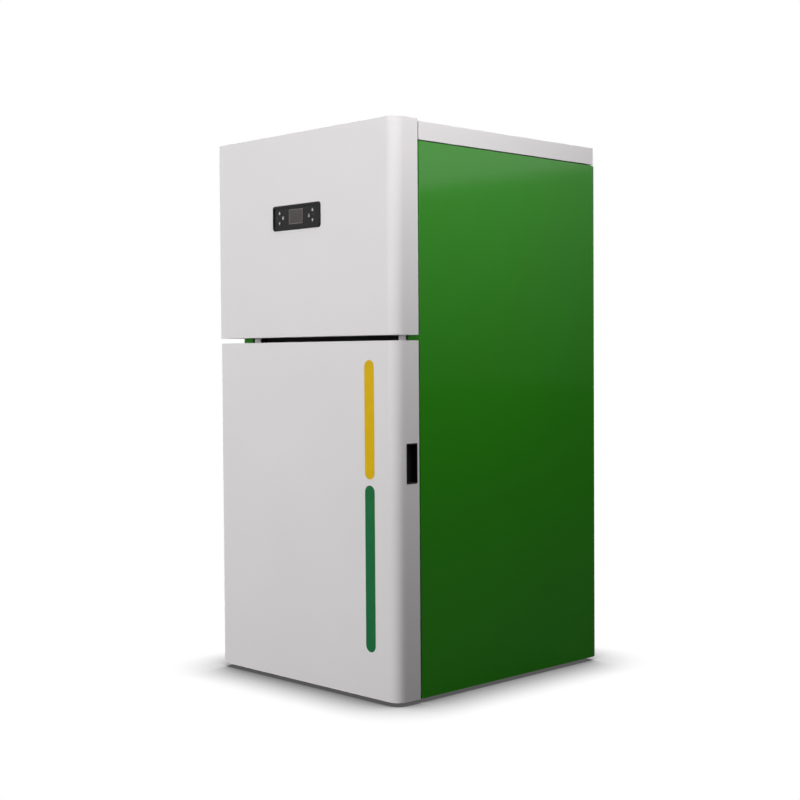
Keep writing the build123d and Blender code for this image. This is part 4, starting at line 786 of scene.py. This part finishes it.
def makeMats():
    # each mat: two faces whose distance from the middle plane is the half thickness times the two edge
    # roundings (one less the 14th power of the place, to the 14th root); the outer face sinks round each
    # washer like a bell curve and swells a little between them
    low, high = boxOf("insulation_mats")
    inner = boxOf("boiler_body")[1][0]
    t = np.sin(np.linspace(-np.pi / 2, np.pi / 2, mats["across"]))[:, None]
    u = np.sin(np.linspace(-np.pi / 2, np.pi / 2, mats["along"]))[None]
    power = mats["edgePower"]
    body = ((1 - abs(t) ** power) * (1 - abs(u) ** power)) ** (1 / power)
    y = (low[1] + high[1]) / 2 + (high[1] - low[1]) / 2 * t + 0 * u
    z = (low[2] + high[2]) / 2 + (high[2] - low[2]) / 2 * u + 0 * t
    rows = np.linspace(low[2], high[2], 2 * mats["rows"] + 1)[1::2]
    columns = low[1] + (high[1] - low[1]) * np.array(mats["columns"])
    spots = [(column, row) for row in rows for column in columns]
    sink = sum(np.exp(-((y - spot[0]) ** 2 + (z - spot[1]) ** 2) / (mats["dimpleReach"] * mm) ** 2)
               for spot in spots)
    waveT, waveU = mats["swellWaves"]
    swell = mats["swell"] * (1 + np.cos(waveT * t) * np.cos(waveU * u)) / 2
    sink = mats["dimple"] * np.clip(sink, 0, 1) + swell
    fadeT, fadeU = mats["edgeFade"]
    fade = smoothStep(fadeT * (1 - abs(t))) * smoothStep(fadeU * (1 - abs(u)))
    half = (high[0] - inner) / 2
    faceOut = half * body - sink * mm * fade * body
    grids, washers = [], []
    for side in (-1, 1):
        middle = side * (inner + half)
        grids.append((np.stack([middle + side * faceOut, y, z], axis=-1), False, False))
        grids.append((np.stack([middle - side * half * body, y, z], axis=-1), False, False))
        face = side * (inner + 2 * half - (mats["dimple"] + mats["washerDepth"]) * mm)
        wide = mats["washer"]
        disc = spun([
            (0, -0.5), (wide, -0.5), (wide, 0.4), (3.2, 1.2), (3.2, 3), (2.4, 3.6), (0, 3.6)], 40)
        washers.append((copiesAt(disc, [(face, *spot) for spot in spots], (side, 0, 0)), False, True))
    piece = buildPiece("insulation_pads", grids, "foilFacing", "cabinet", 50)
    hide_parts("insulation_mats")
    buildPiece("mat_washers", washers, "galvanisedSheet", "cabinet")


makeMats()
print("insulation mats made")


# Threads on the water tails, weld seams of the block, and the lever's grip

threads = dict(
    radius=16.6, root=0.03, sunk=0.5, depth=0.6, pitch=2.309, length=20.0, endGap=0.4,
    perTurn=48, perPitch=8,
    tails={  # the pipe, and the x and z of its tail
        "supply_thread": ("supply_pipe", 140.0, 690.0),
        "return_thread": ("return_pipe", -170.0, 160.0),
    },
)
welds = dict(
    radius=2.6, ripple=0.12, step=3.2, lean=1.1, perRipple=6, around=14,
    front=-116.0, inset=0.6, cornerGap=6, lugReach=(-126, -112), lugTops=(250, 420), lugHeight=20,
    slanted=(0.36, 0.48, 0.8),  # a direction that no seam has
)
grip = dict(
    pivot=(270, 100, 843), tilt=25.0, reach=330.5, length=81.5,
    radius=9.6, swell=1.6, rings=9, groove=0.8, endRound=0.35,
)


def makeThreads():
    # pipe thread: the radius rises from the root by a triangle wave of the run less the turn
    radius = threads["radius"]
    for name, (node, x, z) in threads["tails"].items():
        end = boxOf(node)[1][1] - threads["endGap"] * mm
        count = int(threads["length"] / threads["pitch"] * threads["perPitch"])
        run = np.linspace(0, threads["length"], count)[:, None]
        angle = np.linspace(0, 2 * np.pi, threads["perTurn"], endpoint=False)[None]
        phase = (run / threads["pitch"] - angle / (2 * np.pi)) % 1
        fade = smoothStep(run / threads["pitch"]) * smoothStep((threads["length"] - run) / threads["pitch"])
        skin = radius + threads["root"] + threads["depth"] * fade * (1 - abs(2 * phase - 1))
        run = np.vstack([[0], run, [threads["length"]]])
        closing = 0 * angle + radius - threads["sunk"]
        skin = np.vstack([closing, skin, closing])
        grid = np.stack([skin * np.cos(angle), skin * np.sin(angle), run + 0 * angle], axis=-1) * mm
        place = [(x * mm, end - threads["length"] * mm, z * mm)]
        buildPiece(name, [(copiesAt(grid, place, (0, 1, 0)), True, True)],
                   finishOfSlot[slotOfNode[node]], "cabinet", 50)


def weldRun(start, end):
    # seam: a tube whose radius swells with each ripple and closes at both ends
    start, end = np.array(start, float), np.array(end, float)
    length = np.linalg.norm(end - start)
    count = int(length / welds["step"] * welds["perRipple"])
    run = np.linspace(0, length, count)[:, None]
    around = np.linspace(0, 2 * np.pi, welds["around"], endpoint=False)[None]
    ends = np.sqrt(np.clip(np.minimum(run, length - run) / welds["radius"], 0, 1))
    radius = welds["radius"] * ends * (1 + welds["ripple"] * abs(np.sin(np.pi * run / welds["step"])))
    lean = run + welds["lean"] * np.cos(around)
    along = (end - start) / length
    side = np.cross(along, welds["slanted"])
    side /= np.linalg.norm(side)
    up = np.cross(along, side)
    grid = start + lean[..., None] * along + (radius * np.cos(around))[..., None] * side
    return (grid + (radius * np.sin(around))[..., None] * up) * mm


def makeWelds():
    low, high = boxOf("boiler_body")
    left, right = low[0] / mm, high[0] / mm
    foot, crown = low[2] / mm, high[2] / mm
    front, inset, gap = welds["front"], welds["inset"], welds["cornerGap"]
    runs = [((side, front + inset, foot + gap), (side, front + inset, crown - gap))
            for side in (left + inset, right - inset)]
    runs.append(((left + gap, front + inset, crown - inset), (right - gap, front + inset, crown - inset)))
    near, far = welds["lugReach"]
    for top in welds["lugTops"]:
        for level in (top, top - welds["lugHeight"]):
            runs.append(((near, front, level), (far, front, level)))
    buildPiece("weld_seams", [(weldRun(*run), False, True) for run in runs], "weldedSteel", "cabinet",
               60)


def makeGrip():
    # hand grip over the lever's end: a barrel that swells by a half sine, cut by rings that dip as a
    # cosine to the fourth power
    tilt, pivot = math.radians(grip["tilt"]), np.array(grip["pivot"]) * mm
    along = np.array([0, -math.cos(tilt), -math.sin(tilt)])
    share = np.linspace(0, 1, 140)
    barrel = grip["radius"] + grip["swell"] * np.sin(np.pi * share)
    barrel -= grip["groove"] * np.clip(np.cos(2 * np.pi * grip["rings"] * share), 0, 1) ** 4
    ends = np.sqrt(np.clip(np.minimum(share, 1 - share) * 40, 0, 1))
    barrel *= 1 - grip["endRound"] * (1 - ends)
    profile = np.column_stack([barrel, grip["length"] * share])
    profile = np.vstack([[0, 0], profile, [0, grip["length"]]])
    place = [pivot + along * (grip["reach"] - grip["length"]) * mm]
    buildPiece("lever_grip", [(copiesAt(spun(profile, 48), place, along), False, True)],
               "keyCapAbs", "cleaning_shaft", 45)


makeThreads()
makeWelds()
makeGrip()
print("threads, welds and grip made")


# Camera and stage

shot = dict(
    place=(2.742, -2.73525, 0.837),
    turn=math.radians(45.61),
    tilt=math.radians(-1.71),
    roll=math.radians(-0.38),
    lens=63.68,
)


def makeCamera():
    # the camera's axes: forwards from turn and tilt, sideways in the floor plane, then rolled
    turn, tilt, roll = shot["turn"], shot["tilt"], shot["roll"]
    forward = np.array([
        -math.sin(turn) * math.cos(tilt), math.cos(turn) * math.cos(tilt), math.sin(tilt)])
    level = np.array([math.cos(turn), math.sin(turn), 0.0])
    upright = np.cross(level, forward)
    right = math.cos(roll) * level + math.sin(roll) * upright
    up = math.cos(roll) * upright - math.sin(roll) * level
    data = bpy.data.cameras.new("camera")
    data.lens = shot["lens"]
    data.sensor_width = 36.0
    camera = bpy.data.objects.new("camera", data)
    scene.collection.objects.link(camera)
    columns = np.vstack([right, up, -forward, shot["place"]]).T
    camera.matrix_world = Matrix([*columns.tolist(), [0, 0, 0, 1]])
    scene.camera = camera


makeCamera()

studio = dict(
    skyForPaint=0.04,
    floorSize=60.0,
    floorTone="#404040",  # what the floor throws back at the boiler; the camera sees it white
    shadeReach=0.16,  # metres of floor round the boiler that lie in its shade
    shadeStart=0.43,  # openness at which the shade is deepest
    shadeTone=0.09,  # brightness of the floor there
    boxEdgeSlope=0.168,  # lean of the bright box's lower edge in reflections
    boxEdgeBlur=0.004,
    coveLow=-0.08,  # heights of the direction between which the cove brightens in reflections
    coveHigh=0.16,
    coveCurve=1.6,
    glossHorizon=0.05,  # brightness of the cove at its foot, what it gains upwards, and that of the box
    glossRise=0.5,
    glossBox=1.2,
)
softboxes = {
    # name: centre, point it faces, width and height in metres, power in watts, seen in reflections or not
    "frontBox": ((-1.0, -4.6, 1.45), (0, -0.4, 0.8), 2.4, 1.8, 163, False),
    "sideBox": ((1.5, -0.44, 2.35), (0.34, -0.16, 1.15), 1.2, 0.8, 26, True),
    "edgeBox": ((1.6, -0.7, 2.3), (0.34, -0.3, 1.1), 1.2, 0.8, 7, True),
    "rearBox": ((-0.9, 4.2, 2.4), (0, 0.4, 0.8), 2.4, 1.8, 130, True),
    "leftBox": ((-3.2, 0.6, 2.4), (-0.34, 0.1, 0.8), 2.0, 1.6, 52, True),
}


def makeSoftbox(name, centre, target, width, height, power, mirrored):
    data = bpy.data.lights.new(name, "AREA")
    data.shape = "RECTANGLE"
    data.size = width
    data.size_y = height
    data.energy = power
    lamp = bpy.data.objects.new(name, data)
    scene.collection.objects.link(lamp)
    lamp.location = centre
    aim = lamp.location - Vector(target)
    lamp.rotation_euler = aim.to_track_quat("Z", "Y").to_euler()
    lamp.visible_camera = False
    lamp.visible_glossy = mirrored


for name, values in softboxes.items():
    makeSoftbox(name, *values)


def makeWorld():
    # cove: the camera and clear plastic see it plain white; in reflections it is bright above a
    # straight edge and falls to grey towards the floor; paint is lit by a faint even sky
    world = bpy.data.worlds.new("studio")
    scene.world = world
    world.use_nodes = True
    tree = world.node_tree
    tree.nodes.clear()
    toward = addNode(tree, "SeparateXYZ", {"Vector": addNode(tree, "TexCoord").outputs["Generated"]})
    depth = addNode(tree, "Math", {0: toward.outputs["Y"]}, operation="ABSOLUTE")
    edge = addNode(tree, "Math", {
        0: depth.outputs["Value"], 1: studio["boxEdgeSlope"]}, operation="MULTIPLY")
    above = addNode(tree, "Math", {0: toward.outputs["Z"], 1: edge.outputs["Value"]}, operation="SUBTRACT")
    inBox = addNode(tree, "MapRange", {
        "Value": above.outputs["Value"],
        "From Min": -studio["boxEdgeBlur"], "From Max": studio["boxEdgeBlur"]})
    climb = addNode(tree, "MapRange", {
        "Value": toward.outputs["Z"], "From Min": studio["coveLow"], "From Max": studio["coveHigh"]})
    curve = addNode(tree, "Math", {0: climb.outputs["Result"], 1: studio["coveCurve"]}, operation="POWER")
    cove = addNode(tree, "Math", {
        0: curve.outputs["Value"], 1: studio["glossRise"],
        2: studio["glossHorizon"]}, operation="MULTIPLY_ADD")
    glow = addNode(tree, "Mix", {
        "Factor": inBox.outputs["Result"], 2: cove.outputs["Value"],
        3: studio["glossBox"]}, data_type="FLOAT")
    sky = addNode(tree, "Background", {"Color": toLinear("#FFFFFF"), "Strength": studio["skyForPaint"]})
    mirrored = addNode(tree, "Background", {"Color": toLinear("#FFFFFF"), "Strength": glow.outputs[0]})
    backdrop = addNode(tree, "Background", {"Color": toLinear("#FFFFFF"), "Strength": 1.0})
    path = addNode(tree, "LightPath")
    inGloss = addNode(tree, "MixShader", {
        "Fac": path.outputs["Is Glossy Ray"],
        1: sky.outputs["Background"], 2: mirrored.outputs["Background"]})
    seen = addNode(tree, "Math", {
        0: path.outputs["Is Camera Ray"], 1: path.outputs["Is Transmission Ray"]}, operation="MAXIMUM")
    mix = addNode(tree, "MixShader", {
        "Fac": seen.outputs["Value"], 1: inGloss.outputs["Shader"], 2: backdrop.outputs["Background"]})
    addNode(tree, "OutputWorld", {"Surface": mix.outputs["Shader"]})


makeWorld()


def makeFloor():
    # grey floor that looks white to the camera except for the soft shade close to the boiler
    half = studio["floorSize"] / 2
    mesh = bpy.data.meshes.new("floor")
    corners = [(-half, -half, 0), (half, -half, 0), (half, half, 0), (-half, half, 0)]
    mesh.from_pydata(corners, [], [(0, 1, 2, 3)])
    floor = bpy.data.objects.new("floor", mesh)
    scene.collection.objects.link(floor)
    material, tree, shader = startMaterial(
        "paleFloor", Base_Color=toLinear(studio["floorTone"]), Roughness=0.9, Specular_IOR_Level=0.1)[:3]
    white = addNode(tree, "Emission", {"Color": toLinear("#FFFFFF")})
    shade = addNode(tree, "AmbientOcclusion", {"Distance": studio["shadeReach"]}, samples=16)
    softShade = addNode(tree, "MapRange", {
        "Value": shade.outputs["AO"], "From Min": studio["shadeStart"], "To Min": studio["shadeTone"]})
    tree.links.new(softShade.outputs["Result"], white.inputs["Strength"])
    path = addNode(tree, "LightPath")
    mix = addNode(tree, "MixShader", {
        "Fac": path.outputs["Is Camera Ray"], 1: shader.outputs["BSDF"], 2: white.outputs["Emission"]})
    output = next(node for node in tree.nodes if node.type == "OUTPUT_MATERIAL")
    tree.links.new(mix.outputs["Shader"], output.inputs["Surface"])
    mesh.materials.append(material)


makeFloor()
scene.view_settings.view_transform = "Standard"
print("camera, lights and floor made")
